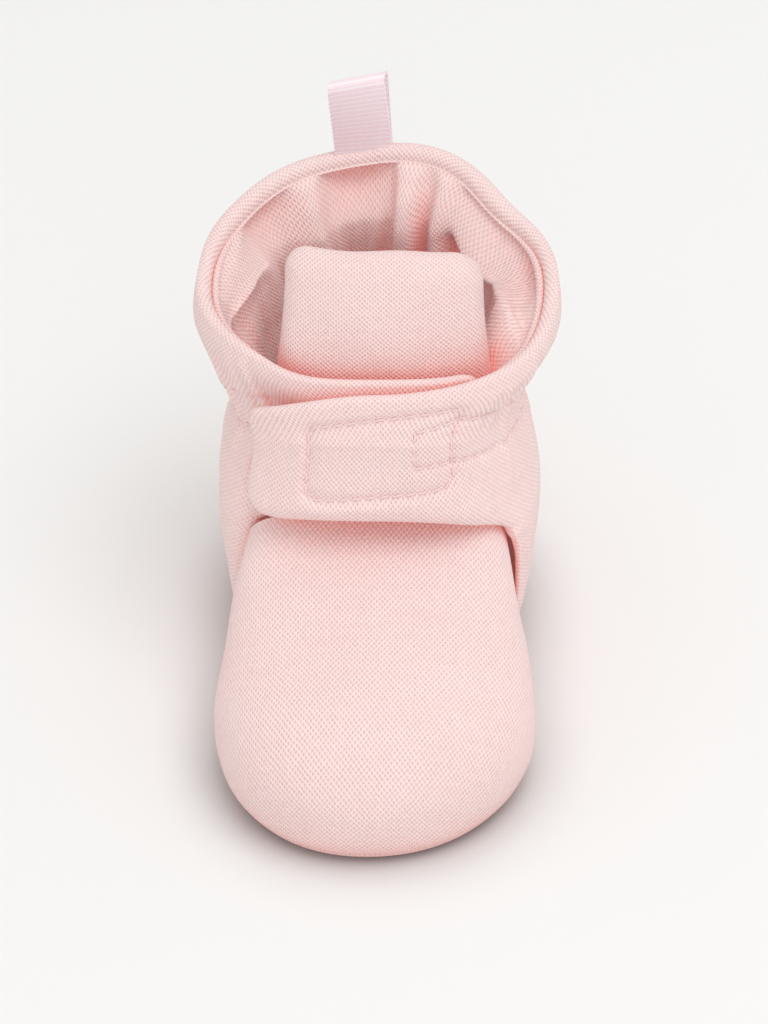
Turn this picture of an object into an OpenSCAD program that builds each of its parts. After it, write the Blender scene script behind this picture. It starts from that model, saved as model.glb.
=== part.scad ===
// Soft baby bootie: knitted toe panel and tongue, wrap-over heel panel with a gathered ankle,
// hook-and-loop strap, ribbon pull loop and a padded sole with grip dots.
// Millimetres. +Z up, toe towards -Y, heel towards +Y. Origin on the floor under the middle of the sole.

/* [Foot] */
// Toe to heel, over the widest outline
foot_length = 114; // [105:1:120]
// Width across the ball of the foot
foot_width = 62; // [58:1:66]

/* [Heights] */
// Height of the collar at the heel
collar_back_h = 87; // [84:1:90]
// Height of the collar at the instep
collar_front_h = 73; // [72:1:75]
// Height of the gathered ankle line at the sides
ankle_h = 55; // [54:1:56]

/* [Fabric] */
// Thickness of the outer knit
outer_t = 1.3; // [1.1:0.1:1.4]
// Thickness of the lining knit
lining_t = 1; // [0.8:0.1:1.1]

/* [Closure] */
// Length of the hook patch along the strap
patch_l = 30; // [26:1:32]
// Width of the hook patch across the strap
patch_w = 16; // [15:1:17]
// Radius of the strap's corners
strap_corner = 5; // [3:0.5:6]

/* [Pull loop] */
// Width of the ribbon
ribbon_w = 11; // [9:0.5:13]
// Height of the loop above the collar
loop_h = 17; // [14:1:20]

/* [Tongue] */
// Width of the tongue
tongue_w = 40; // [36:1:42]
// Height of the tongue's top above the floor
tongue_top = 91; // [88:1:93]

/* [Hidden] */

half_l = foot_length / 2;
half_w = foot_width / 2;
gap = 0.1;              // air between neighbouring layers
dot_h = 0.5;            // grip dots stand this proud of the sole
sole_t = 1.6;
foam_t = 3;
upper_z = dot_h + sole_t + 2 * gap; // where the uppers start, just above the sole fabric
elastic_t = 0.6;
elastic_w = 6;
hook_t = 0.6;
loop_t = 0.6;
thread_r = 0.25;

heel_y = 0.42 * half_l;             // centre of the ankle
rim_mean = (collar_back_h + collar_front_h) / 2;
rim_swing = (collar_back_h - collar_front_h) / 2;
ankle_rise = 7;                     // the ankle line climbs this much towards the instep
square_side = 0.6;                  // under 1, so the ankle's front is squarer than an ellipse
side_a = 56;                        // angle, from the front, of the strap's and the flap's fold lines
fold_gap = 1.6;                     // degrees left open at each fold line
strap_tip_a = -46;
flap_tip_a = 31;
soft_gap = 0.25;                    // between curved layers whose facets differ
// The strap's face, elastic and lining together
strap_in = outer_t + elastic_t + 2 * gap + soft_gap + lining_t;
// The under flap's face and lining together
flap_in = outer_t + soft_gap + lining_t;
// The under flap lies this far below the strap
flap_drop = strap_in + hook_t + loop_t + 4 * soft_gap;

pink = [0.97, 0.85, 0.84];
pale = [0.98, 0.80, 0.78];
lilac = [0.92, 0.83, 0.87];
white = [0.95, 0.94, 0.93];

// ---------- curves ----------

function clamp01(v) = max(0, min(1, v));
function ease(v) = let (u = clamp01(v)) u * u * (3 - 2 * u);
function quarter_round(v) = sqrt(1 - pow(1 - clamp01(v), 2));

// Smooth curve through [position, value] knots
function span_of(x, k, i = 0) = i >= len(k) - 2 || x < k[i + 1][0] ? i : span_of(x, k, i + 1);
function slope_at(k, i) =
    let (a = max(0, i - 1), b = min(len(k) - 1, i + 1)) (k[b][1] - k[a][1]) / (k[b][0] - k[a][0]);
function curve(x, k) =
    let (i = span_of(x, k), w = k[i + 1][0] - k[i][0], t = (x - k[i][0]) / w,
         m0 = slope_at(k, i) * w, m1 = slope_at(k, i + 1) * w)
    (2 * pow(t, 3) - 3 * t * t + 1) * k[i][1] + (pow(t, 3) - 2 * t * t + t) * m0
    + (3 * t * t - 2 * pow(t, 3)) * k[i + 1][1] + (pow(t, 3) - t * t) * m1;

// ---------- heel, ankle and collar ----------
// A level runs 0 at the sole, 1 at the ankle line and 2 at the collar's rim.
// An angle is 0 at the front and grows towards +X; the heel's back is at 180.

SIDE = [[0, 0.84], [0.12, 0.93], [0.3, 0.985], [0.58, 1.005], [0.8, 0.965], [1, 0.90],
    [1.3, 0.98], [1.7, 1.13], [2, 1.11]];
BACK = [[0, 0.88], [0.27, 0.965], [0.58, 0.99], [0.8, 0.955], [1, 0.9], [1.3, 0.94],
    [1.7, 0.985], [2, 0.99]];
FRONT = [[0, -0.24], [0.6, -0.225], [0.73, -0.175], [1, -0.093], [2, -0.026]];

function rim_z(a) = rim_mean - rim_swing * cos(a);
function ankle_z(a) = ankle_h + ankle_rise * cos(a);
function level_z(a, t) = t < 1 ? upper_z + t * (ankle_z(a) - upper_z)
                               : ankle_z(a) + (t - 1) * (rim_z(a) - ankle_z(a));
function z_level(a, z) = z < ankle_z(a) ? (z - upper_z) / (ankle_z(a) - upper_z)
                                        : 1 + (z - ankle_z(a)) / (rim_z(a) - ankle_z(a));
function ring(a, t, out) =
    let (s = sin(a), c = cos(a),
         x = (curve(t, SIDE) * half_w + out) * sign(s) * pow(abs(s), c > 0 ? square_side : 1),
         reach = c > 0 ? heel_y - curve(t, FRONT) * half_l : curve(t, BACK) * half_l - heel_y)
    [x, heel_y - (reach + out) * c, level_z(a, t)];
function wrap(a, z, out) = ring(a, z_level(a, z), out);

// How far the strap and the under flap lie off the ankle's outer surface
function strap_out(a) = 2.1 * (1 - ease((a - strap_tip_a + 2) / 35));
function flap_out(a) = -flap_drop * ease((a + side_a + 2) / 30);

// Upper and lower edges of the strap and of the under flap, before their corners are rounded
function strap_top(a) =
    curve(a, [[-50, 63], [-39, 65.6], [-14, 69.4], [0, 71.2], [20, 73], [side_a, rim_z(side_a)]]);
function strap_foot(a) = curve(a, [[-50, 43.5], [-33, 45], [0, 47], [30, 43], [side_a, 37]]);
function flap_top(a) = rim_z(a) - ease((a + side_a) / side_a);
function flap_foot(a) = curve(a, [[-side_a, 39], [-40, 43.5], [0, 49], [45, 53]]);
ankle_r = 30; // near enough the ankle's radius, to turn degrees into millimetres along the cloth
function corner(a, tip, r) =
    let (s = clamp01(abs(a - tip) * ankle_r * PI / 180 / r)) r * (1 - quarter_round(s));

// ---------- toe panel ----------

TOE_W = [[-1, 1], [-0.45, 1], [-0.14, 0.9], [0, 0.765], [0.14, 0.69]];
TOE_H = [[-1, 24], [-0.75, 29], [-0.45, 33.5], [-0.17, 37.5], [0, 41.5], [0.14, 46]];
toe_mid_z = 12;                 // height of the widest line round the toe
toe_rear_y = 0.14 * half_l;
toe_lean = 9;                   // the middle of the instep edge lies this far in front of its sides
toe_shift = 1.5;                // the toe tip lies this far towards -X
toe_round_l = 0.54 * half_l;    // length of the toe's round end, seen from above
toe_round_h = 17;               // and seen from the side
toe_round_u = 6;                // and under the widest line
SQUARE_TOP = [[-1, 0.85], [-0.45, 0.7], [-0.1, 0.46], [0.14, 0.42]]; // 1 is an ellipse, less is squarer
square_low = 0.4;
toe_slit = 0.04;                // the toe's two sides stay this far from meeting under the toe

function toe_x0(y) = -toe_shift * pow(1 - clamp01((y + half_l) / (0.6 * half_l)), 2);
function plan_w(y) = curve(y / half_l, TOE_W) * half_w * quarter_round((y + half_l) / toe_round_l);

// Half width of the sole's pattern piece
sole_toe_y = -0.94 * half_l;
sole_back_y = 0.875 * half_l;
function sole_w(y) = lookup(y / half_l, [[-0.5, 0.86], [0, 0.7], [0.45, 0.78]]) * half_w
    * quarter_round((y - sole_toe_y) / 27) * quarter_round((sole_back_y - y) / 24);

// Point on the toe panel: u runs 0 at the toe tip to 1 at the rear edge, v runs -1 to 1 across
function toe_point(u, v, out) =
    let (y = -half_l + (toe_rear_y + half_l) * (1 - cos(90 * u)),
         w = plan_w(y) + out * quarter_round((y + half_l) / toe_round_l),
         rise = (curve(y / half_l, TOE_H) - toe_mid_z + out) * quarter_round((y + half_l) / toe_round_h),
         drop = (toe_mid_z - upper_z - gap + out) * quarter_round((y + half_l) / toe_round_u),
         edge = u == 0 ? 1 : max(toe_slit, min(0.88, sole_w(y) / plan_w(y))),
         square_top = curve(y / half_l, SQUARE_TOP),
         low_a = acos(pow(edge, 1 / square_low)),
         a = 90 - abs(v) * (90 + low_a),
         x = w * pow(max(0, cos(a)), a >= 0 ? square_top : square_low),
         z = toe_mid_z + (a >= 0 ? rise * pow(sin(a), square_top) : -drop * pow(-sin(a), square_low)),
         lean = toe_lean * ease(u) * ease((z - 24) / 20))
    [sign(v) * x + toe_x0(y), y - lean - (u == 0 ? out : 0), z];

// ---------- solids ----------

// Closed skin between two equal grids of points
module skin(outer, inner) {
    rows = len(outer);
    cols = len(outer[0]);
    count = rows * cols;
    function quad(a, b, c, d) = [[a, b, c], [a, c, d]];
    faces = [
        for (i = [0:rows - 2], j = [0:cols - 2])
            let (p = i * cols + j)
            each concat(
                quad(p, p + 1, p + cols + 1, p + cols),
                quad(count + p, count + p + cols, count + p + cols + 1, count + p + 1)),
        for (j = [0:cols - 2], i = [0, rows - 1])
            let (p = i * cols + j)
            each i == 0 ? quad(p + 1, p, count + p, count + p + 1)
                        : quad(p, p + 1, count + p + 1, count + p),
        for (i = [0:rows - 2], j = [0, cols - 1])
            let (p = i * cols + j)
            each j == 0 ? quad(p, p + cols, count + p + cols, count + p)
                        : quad(p + cols, p, count + p, count + p + cols)
    ];
    polyhedron(points = concat([for (row = outer) each row], [for (row = inner) each row]), faces = faces);
}

// Layer of cloth wrapped round the ankle, from angle a0 to a1 and from level t0 to t1
module wrapped_layer(a0, a1, t0, t1, out, thick, columns, rows) {
    function grid(d) = [for (i = [0:columns]) let (a = a0 + (a1 - a0) * i / columns)
        [for (j = [0:rows]) ring(a, t0 + (t1 - t0) * j / rows, d)]];
    skin(grid(out), grid(out - thick));
}

strap_columns = 22;
// Angles of a flap's columns, close together at its tip where the corners turn
function flap_angle(root, tip, q) = tip + (root - tip) * pow(q, 1.6);

module strap_layer(depth, thick, inset = 0) {
    root = side_a - fold_gap / 2;
    tip = strap_tip_a + inset * 2;
    rows = 6;
    function cell(q, j, d) =
        let (a = flap_angle(root, tip, q), c = corner(a, tip, strap_corner) + inset,
             lo = strap_foot(a) + c, hi = strap_top(a) - c)
        wrap(a, lo + (hi - lo) * j / rows, strap_out(a) + d);
    function grid(d) = [for (i = [0:strap_columns]) [for (j = [0:rows]) cell(1 - i / strap_columns, j, d)]];
    skin(grid(-depth - thick), grid(-depth));
}

module flap_layer(depth, thick, inset = 0) {
    root = -side_a + fold_gap / 2;
    tip = flap_tip_a - inset * 2;
    columns = 20;
    rows = 6;
    function cell(q, j, d) =
        let (a = flap_angle(root, tip, q), c = corner(a, tip, strap_corner) + inset,
             lo = flap_foot(a) + c, hi = flap_top(a) - c)
        wrap(a, lo + (hi - lo) * j / rows, flap_out(a) + d);
    function grid(d) = [for (i = [0:columns]) [for (j = [0:rows]) cell(i / columns, j, d)]];
    skin(grid(-depth - thick), grid(-depth));
}

// Patch of tape that follows the strap, between two angles, centred on the strap's middle line
module patch(out_of, a0, a1, width, thick) {
    columns = 12;
    rows = 3;
    function grid(d) = [for (i = [0:columns]) let (a = a0 + (a1 - a0) * i / columns)
        [for (j = [0:rows]) wrap(a, patch_z(a) + width * (j / rows - 0.5), out_of + d)]];
    skin(grid(0), grid(-thick));
}
function patch_z(a) = 59.3 + 0.1 * a;
patch_half_a = patch_l * 0.65; // the front is flatter than the ankle, so a degree covers more cloth
patch_mid_a = 2;
// The loop patch stops short of the under flap's tip
loop_mid_a = -4;
loop_half_a = patch_half_a;

// One straight stitch
module stitch(p, q) {
    d = q - p;
    l = norm(d);
    translate(p) rotate([0, acos(d[2] / l), atan2(d[1], d[0])]) cylinder(h = l, r = thread_r, $fn = 24);
}

// Running stitches along a path of points, with a gap after each
module running_stitch(path) {
    for (i = [0:len(path) - 2]) stitch(path[i], path[i] + (path[i + 1] - path[i]) * 0.78);
}

// Outline of the sole's pattern piece, seen from above
module sole_outline(inset) {
    steps = 72;
    mid_y = (sole_toe_y + sole_back_y) / 2;
    reach = (sole_back_y - sole_toe_y) / 2;
    function at(i) =
        let (b = 360 * i / steps, y = mid_y - reach * cos(b))
        [sign(sin(b)) * sole_w(y) + toe_x0(y), y];
    offset_in(inset) polygon([for (i = [0:steps - 1]) at(i)]);
}
module offset_in(d) {
    if (d == 0) children();
    else offset(delta = -d) children();
}

// ---------- sole ----------

module sole_outer() {
    color(pink) translate([0, 0, dot_h]) linear_extrude(sole_t) sole_outline(0);
}

module grip_dots() {
    pitch = 9;
    dot_r = 1.7;
    margin = 5;
    color(white) for (row = [-5:5], col = [-3:3]) {
        x = (col + (abs(row) % 2) / 2) * pitch;
        y = row * pitch;
        if (abs(y) < 0.9 * half_l && abs(x) < sole_w(y) - margin)
            translate([x, y, 0]) cylinder(h = dot_h, r = dot_r, $fn = 32);
    }
}

module sole_foam() {
    color(white) translate([0, 0, upper_z]) linear_extrude(foam_t) sole_outline(5.4);
}

module insole_lining() {
    color(pale) translate([0, 0, upper_z + foam_t + gap]) linear_extrude(lining_t) sole_outline(6.4);
}

// ---------- toe panel and tongue ----------

module toe_layer(out, thick) {
    rows = 16;
    cols = 24;
    function grid(d) = [for (i = [0:rows]) [for (j = [0:cols]) toe_point(i / rows, 2 * j / cols - 1, d)]];
    skin(grid(out - thick), grid(out));
}

module toe_panel() {
    color(pink) toe_layer(0, outer_t);
}

module toe_panel_lining() {
    color(pale) toe_layer(-outer_t - 2 * gap, lining_t);
}

// Front face of the tongue at height z, on the centre line
tongue_fold_z = 76;
tongue_t = 4.6;
function tongue_y(z) = curve(z, [[38, -4.2], [48, 1.4], [60, 5.1], [tongue_fold_z, 9], [96, 17.5]]);
function tongue_point(x, z, back) =
    let (bow = 0.0085 * x * x) [x + 1, tongue_y(z) + bow + back, z];

// Slab of the tongue between two heights and two depths behind its face, with rounded top corners
module tongue_slab(z0, z1, d0, d1, half, round) {
    cols = 14;
    rows = 8;
    function top(x) = let (e = half - abs(x)) e < round ? z1 - round * (1 - quarter_round(e / round)) : z1;
    function across(j) = half * sin(180 * (j / cols - 0.5));
    function grid(d) = [for (j = [0:cols]) let (x = across(j))
        [for (i = [0:rows]) tongue_point(x, z0 + (top(x) - z0) * i / rows, d)]];
    skin(grid(d0), grid(d1));
}

module tongue_root() {
    color(pink) tongue_slab(47.4, tongue_fold_z - 2.6, 0, 3.4, tongue_w / 2 - 1.5, 0.01);
}

module tongue_face() {
    color(pink) tongue_slab(tongue_fold_z, tongue_top, 0, outer_t, tongue_w / 2, 7);
}

module tongue_wadding() {
    color(white) tongue_slab(tongue_fold_z + 0.6, tongue_top - 1, outer_t + gap,
                             tongue_t - lining_t - gap, tongue_w / 2 - 1, 6);
}

module tongue_lining() {
    color(pale) tongue_slab(tongue_fold_z, tongue_top, tongue_t - lining_t, tongue_t, tongue_w / 2, 7);
}

// ---------- heel panel ----------

module heel_panel() {
    color(pink) wrapped_layer(side_a + fold_gap / 2, 360 - side_a - fold_gap / 2, 0, 2, 0, outer_t, 42, 16);
}

module heel_panel_lining() {
    depth = outer_t + elastic_t + 2 * gap + soft_gap;
    color(pale)
        wrapped_layer(side_a + fold_gap / 2, 360 - side_a - fold_gap / 2, 0.03, 1.99,
                      -depth, lining_t, 42, 16);
}

module ankle_elastic() {
    below = elastic_w / 2 / (ankle_h - upper_z);
    above = elastic_w / 2 / (rim_mean - ankle_h);
    color(white) wrapped_layer(side_a + fold_gap / 2, 360 - side_a - fold_gap / 2, 1 - below, 1 + above,
                               -outer_t - gap - soft_gap / 2, 0.6 * elastic_t, 42, 2);
}

module ankle_stitching() {
    steps = 42;
    a0 = side_a + 3;
    a1 = 357 - side_a;
    color(lilac) for (side = [-1, 1]) running_stitch(
        [for (i = [0:steps]) let (a = a0 + (a1 - a0) * i / steps)
            wrap(a, ankle_z(a) + side * (elastic_w / 2 + 0.6), thread_r + 0.35)]);
}

// ---------- strap ----------

module strap() {
    color(pink) strap_layer(0, outer_t);
}

module strap_lining() {
    color(pale) strap_layer(strap_in - lining_t, lining_t, 0.3);
}

module hook_patch() {
    color(white) patch(-strap_in - soft_gap - gap, patch_mid_a - patch_half_a, patch_mid_a + patch_half_a,
                       patch_w, hook_t - gap);
}

// Stitches in a box just inside a patch's edge, lying on the cloth at depth out
module box_stitching(mid_a, half_a, width, out) {
    along = 9;
    across = 6;
    w = width - 1.6;
    h = half_a - 1.5;
    function on(a, s) = wrap(a, patch_z(a) + s * w, out);
    color(lilac) {
        for (s = [-0.5, 0.5])
            running_stitch([for (i = [0:along]) on(mid_a - h + 2 * h * i / along, s)]);
        for (e = [-1, 1])
            running_stitch([for (i = [0:across]) on(mid_a + e * h, -0.46 + 0.92 * i / across)]);
    }
}

module hook_patch_stitching() {
    // these stitches cross over the elastic's
    box_stitching(patch_mid_a, patch_half_a, patch_w, thread_r + 1.05);
}

// The elastic's end, thinned where it is caught inside the strap; it turns with the strap's own columns
module strap_elastic_end() {
    end_t = 0.4 * elastic_t;
    depth = outer_t + gap + 0.9 * soft_gap;
    function grid(d) = [for (i = [7:-1:0])
        let (a = flap_angle(side_a - fold_gap / 2, strap_tip_a, 1 - i / strap_columns))
        [for (s = [-0.5, 0, 0.5]) wrap(a, ankle_z(a) + s * elastic_w, d)]];
    color(white) skin(grid(-depth), grid(-depth - end_t));
}

module strap_elastic_stitching() {
    steps = 12;
    a0 = 7;
    a1 = side_a - 3;
    h = elastic_w / 2 + 0.6;
    lift = thread_r + 0.4;
    color(lilac) {
        for (side = [-1, 1]) running_stitch(
            [for (i = [0:steps]) let (a = a0 + (a1 - a0) * i / steps)
                wrap(a, ankle_z(a) + side * h, lift)]);
        running_stitch([for (i = [0:3]) wrap(a0 - 0.8, ankle_z(a0) + h * (0.62 * i - 0.86), lift)]);
    }
}

// ---------- under flap ----------

module under_flap() {
    color(pink) flap_layer(0, outer_t);
}

module under_flap_lining() {
    color(pale) flap_layer(flap_in - lining_t, lining_t, 0.3);
}

module loop_patch() {
    color(white) patch(-strap_in - hook_t - 2 * soft_gap, loop_mid_a - loop_half_a,
                       loop_mid_a + loop_half_a, patch_w, loop_t);
}

module loop_patch_stitching() {
    // runs on the flap's inner side, where the patch's stitches show
    box_stitching(loop_mid_a, loop_half_a, patch_w, -flap_drop - flap_in - thread_r - soft_gap);
}

// ---------- pull loop ----------

loop_x = -3;
loop_r = 1.9;                       // outer radius of the loop's turn
loop_y = half_l - loop_r;
loop_z = collar_back_h + 2.2;
ribbon_t = 0.8;
module loop_place() {
    translate([loop_x, loop_y, loop_z]) children();
}

// Ribbon folded into a narrow eye, standing on a round seam at its neck
module pull_loop() {
    color(lilac) loop_place() rotate([0, -90, 0]) translate([0, 0, -ribbon_w / 2]) linear_extrude(ribbon_w)
        difference() {
            union() {
                circle(r = loop_r, $fn = 48);
                translate([0, -loop_r]) square([loop_h - loop_r, 2 * loop_r]);
                translate([loop_h - loop_r, 0]) circle(r = loop_r, $fn = 48);
            }
            translate([loop_r + 1, 0]) circle(r = loop_r - ribbon_t, $fn = 48);
            translate([loop_r + 1, -loop_r + ribbon_t])
                square([loop_h - 2 * loop_r - 1, 2 * (loop_r - ribbon_t)]);
            translate([loop_h - loop_r, 0]) circle(r = loop_r - ribbon_t, $fn = 48);
        }
}

// The ribbon's ends, sewn between the heel panel and its lining
module pull_loop_tail() {
    columns = 4;
    half_a = ribbon_w / 2 / ankle_r * 180 / PI * 0.95;
    function grid(d) = [for (i = [0:columns]) let (a = 180 - half_a + 2 * half_a * i / columns + 5)
        [for (t = [1.7, 1.85, 1.98]) ring(a, t, d)]];
    color(lilac) skin(grid(-outer_t - gap), grid(-outer_t - gap - ribbon_t + 0.1));
}

sole_outer();
grip_dots();
sole_foam();
insole_lining();
toe_panel();
toe_panel_lining();
tongue_root();
heel_panel();
heel_panel_lining();
ankle_elastic();
ankle_stitching();
pull_loop_tail();
strap();
strap_lining();
hook_patch();
hook_patch_stitching();
strap_elastic_end();
strap_elastic_stitching();
under_flap();
under_flap_lining();
loop_patch();
loop_patch_stitching();
tongue_face();
tongue_wadding();
tongue_lining();
pull_loop();
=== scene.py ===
"""Looks of the baby bootie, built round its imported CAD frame: knitted panels, padded collar, strap,
tongue, ribbon loop, stitches and sole. Lengths in this script are millimetres until a mesh is made."""

import math

import bpy
import numpy as np
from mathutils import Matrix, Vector


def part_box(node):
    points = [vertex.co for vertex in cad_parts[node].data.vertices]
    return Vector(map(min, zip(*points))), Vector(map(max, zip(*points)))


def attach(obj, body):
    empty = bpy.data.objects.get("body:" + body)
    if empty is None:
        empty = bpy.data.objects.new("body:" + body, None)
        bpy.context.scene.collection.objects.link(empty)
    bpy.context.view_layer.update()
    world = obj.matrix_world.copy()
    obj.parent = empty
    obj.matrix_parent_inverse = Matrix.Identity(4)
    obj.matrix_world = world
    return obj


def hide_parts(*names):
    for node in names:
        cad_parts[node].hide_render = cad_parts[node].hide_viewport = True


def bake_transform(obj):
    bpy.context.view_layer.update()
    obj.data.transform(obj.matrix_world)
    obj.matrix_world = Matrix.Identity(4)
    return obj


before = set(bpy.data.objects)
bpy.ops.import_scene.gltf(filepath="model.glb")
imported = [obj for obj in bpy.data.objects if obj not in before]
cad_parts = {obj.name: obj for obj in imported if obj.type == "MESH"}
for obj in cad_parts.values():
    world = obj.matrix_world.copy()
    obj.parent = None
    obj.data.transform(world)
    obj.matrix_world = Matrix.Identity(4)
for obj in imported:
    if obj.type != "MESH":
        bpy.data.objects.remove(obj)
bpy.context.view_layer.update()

MM = 0.001
L = -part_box("toe_panel")[0].y / MM      # half the foot's length
W = 31.0                    # half its width at the ball
HEEL_Y = 0.42 * L           # centre of the ankle
ANKLE_H = 55.0
ANKLE_RISE = 7.0            # the ankle line climbs this much towards the instep
COLLAR_BACK = 87.0
COLLAR_FRONT = 72.4
UPPER_Z = 2.3               # foot of the uppers
SEAM_Z = 3.0                # height of the seam between the heel panel and the sole
EDGE_R = 3.0                # the padded cloth rounds off over this much at its free edges
ROW_WELL = 0.75             # half width of the groove that a row of stitches draws in
RIB_PITCH = 1.0             # of the ribbon


# ---------------------------------------------------------------- curves

def ease(v):
    u = np.clip(v, 0, 1)
    return u * u * (3 - 2 * u)


def quarter(v):
    """Quarter circle: 0 at 0, rising steeply to 1 at 1 and beyond."""
    return np.sqrt(np.maximum(0, 1 - (1 - np.clip(v, 0, 1)) ** 2))


def bell(v):
    return np.exp(-np.square(v))


def curve(x, knots):
    """Smooth curve through (position, value) knots."""
    k = np.array(knots, float)
    x = np.asarray(x, float)
    n = len(k)
    lo, hi = np.maximum(np.arange(n) - 1, 0), np.minimum(np.arange(n) + 1, n - 1)
    slope = (k[hi, 1] - k[lo, 1]) / (k[hi, 0] - k[lo, 0])
    i = np.clip(np.searchsorted(k[:, 0], x, side="right") - 1, 0, n - 2)
    w = k[i + 1, 0] - k[i, 0]
    t = np.clip((x - k[i, 0]) / w, 0, 1)
    return (
        (2 * t**3 - 3 * t * t + 1) * k[i, 1]
        + (t**3 - 2 * t * t + t) * slope[i] * w
        + (3 * t * t - 2 * t**3) * k[i + 1, 1]
        + (t**3 - t * t) * slope[i + 1] * w
    )


def ripple(x, y, z, size, seed):
    """Smooth, soft unevenness between about -1 and 1, with bumps about size across."""
    r = np.random.default_rng(seed)
    total = 0
    for _ in range(7):
        d = r.normal(size=3)
        d /= np.linalg.norm(d)
        total = total + np.sin(
            (x * d[0] + y * d[1] + z * d[2]) * 2 * math.pi / size * r.uniform(0.6, 1.4) + r.uniform(0, 6.3)
        )
    return total / 3.5


# ---------------------------------------------------------------- ankle wall

# Profiles up the wall, as shares of W or L: level 0 is the foot, 1 the ankle line and 2 the rim.
SIDE = [
    [0, 0.84], [0.12, 0.93], [0.3, 0.985], [0.58, 1.005], [0.8, 0.965],
    [1, 0.9], [1.3, 0.98], [1.7, 1.13], [2, 1.12],
]
BACK = [
    [0, 0.88], [0.27, 0.965], [0.58, 0.99], [0.8, 0.955],
    [1, 0.9], [1.3, 0.94], [1.7, 0.985], [2, 0.99],
]
FRONT = [[0, -0.24], [0.6, -0.225], [0.73, -0.175], [1, -0.093], [2, -0.026]]


def rim_z(a):
    return (COLLAR_BACK + COLLAR_FRONT) / 2 - (COLLAR_BACK - COLLAR_FRONT) / 2 * np.cos(np.radians(a))


def ankle_z(a):
    return ANKLE_H + ANKLE_RISE * np.cos(np.radians(a))


def ring(a, z, out=0.0):
    """Point of the ankle's wall at angle a (0 in front, 180 behind) and height z, out mm outside it."""
    r = np.radians(a)
    s, c = np.sin(r), np.cos(r)
    za, zr = ankle_z(a), rim_z(a)
    t = np.where(z < za, (z - UPPER_Z) / (za - UPPER_Z), 1 + (z - za) / (zr - za))
    t = np.clip(t, 0, 2)
    power = np.where(c > 0, 0.6 - 0.22 * ease((45 - z) / 11), 1.0)
    x = (curve(t, SIDE) * W + out) * np.sign(s) * np.abs(s) ** power
    reach = np.where(c > 0, HEEL_Y - curve(t, FRONT) * L, curve(t, BACK) * L - HEEL_Y)
    return np.stack(np.broadcast_arrays(x, HEEL_Y - (reach + out) * c, z), -1)


# The wall is measured along the cloth: s is mm round the ankle from the middle of the front, towards +X.
ANGLES = np.linspace(0, 180, 3601)
PLAN = ring(ANGLES, np.full_like(ANGLES, 66.0))[:, :2]      # the wall seen from above at z 66
ARC = np.concatenate([[0], np.cumsum(np.linalg.norm(np.diff(PLAN, axis=0), axis=1))])
HALF_ROUND = ARC[-1]


def angle_of(s):
    return np.sign(s) * np.interp(np.abs(s), ARC, ANGLES)


def along(a):
    return math.copysign(float(np.interp(abs(a), ANGLES, ARC)), a)


def wall(s, z, out=0.0):
    return ring(angle_of(s), z, out)


def wall_frame(s, z, out):
    """Point, outward normal and upward tangent of the wall lying out(s, z) off the plain ankle."""
    e = 0.25
    p = wall(s, z, out(s, z))
    along_s = wall(s + e, z, out(s + e, z)) - wall(s - e, z, out(s - e, z))
    along_z = wall(s, z + e, out(s, z + e)) - wall(s, z - e, out(s, z - e))
    n = np.cross(along_s, along_z)
    n /= np.linalg.norm(n, axis=-1, keepdims=True)
    u = along_z / np.linalg.norm(along_z, axis=-1, keepdims=True)
    return p, n, u


# ---------------------------------------------------------------- outlines of the wrap

S_TIP = along(-45)          # strap's free end
S_FLAP = along(30)          # under flap's end
JOIN = along(47)            # where the strap and the flap join the heel panel
PAD = 4.7                   # thickness of the padded collar
SINK = 4.9                  # the under flap lies this far inside the strap's line
CORNER_R = 4.5
Z_CORNER = 39.5


def off(a, centre):
    """Signed angle from centre to a, the short way round."""
    return (a - centre + 180) % 360 - 180


def slump(s, z):
    """How the soft wall sags off its even shape, the same for every piece of the wrap."""
    a = angle_of(s)
    t = (z - ankle_z(a)) / (rim_z(a) - ankle_z(a))
    return (
        -2.1 * bell(off(a, 128) / 17) * ease((t - 0.2) / 0.7)
        + 2.1 * bell(off(a, -72) / 24) * bell((z - 62) / 7)
        - 0.8 * bell(off(a, 76) / 24) * bell((z - 64) / 8)
        + 0.9 * bell(off(a, 84) / 30) * bell((z - 35) / 15)
        + 0.4 * bell(off(a, -84) / 30) * bell((z - 35) / 15)
    )


def rim_lift(s):
    a = angle_of(s)
    return (
        3.3 * bell(off(a, 160) / 27)
        + 1.3 * bell(off(a, -148) / 24)
        + 0.9 * bell(off(a, 100) / 22)
        + 0.9 * bell(off(a, -104) / 24)
    )


def heel_out(s, z):
    a = angle_of(s)
    high = ease((z - 42) / 14)
    sink = -SINK * ease((a + 84) / 52) * (1 - (1 - high) * (1 - ease((a + 62) / 16)))
    return slump(s, z) + np.where(a < 0, sink, 0)


def strap_out(s, z):
    return slump(s, z) + 2.0 * (1 - ease((angle_of(s) + 48) / 35))


def flap_out(s, z):
    return heel_out(s, z) + np.where(angle_of(s) >= 0, -SINK, 0)


def tip_corner(s, tip, r):
    d = np.clip(np.abs(s - tip) / r, 0, 1)
    return r * (1 - quarter(d))


def strap_top(s):
    a = angle_of(s)
    base = curve(a, [[-50, 62.8], [-39, 65.4], [-14, 69.2], [0, 71.2], [20, 73.2], [56, float(rim_z(56))]])
    return base - tip_corner(s, S_TIP, 5.0)


def strap_foot(s):
    a = angle_of(s)
    base = curve(a, [[-50, 43.4], [-33, 44.8], [0, 46.6], [30, 43.2], [47, Z_CORNER]])
    bend = CORNER_R * (1 - quarter((JOIN + 1.3 - s) / CORNER_R))
    return base + tip_corner(s, S_TIP, 5.0) - bend


def flap_top(s):
    a = angle_of(s)
    return rim_z(a) - 1.2 * ease((a + 60) / 50) - 0.4 * ease((a - 6) / 26) - tip_corner(s, S_FLAP, 5.5)


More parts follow.
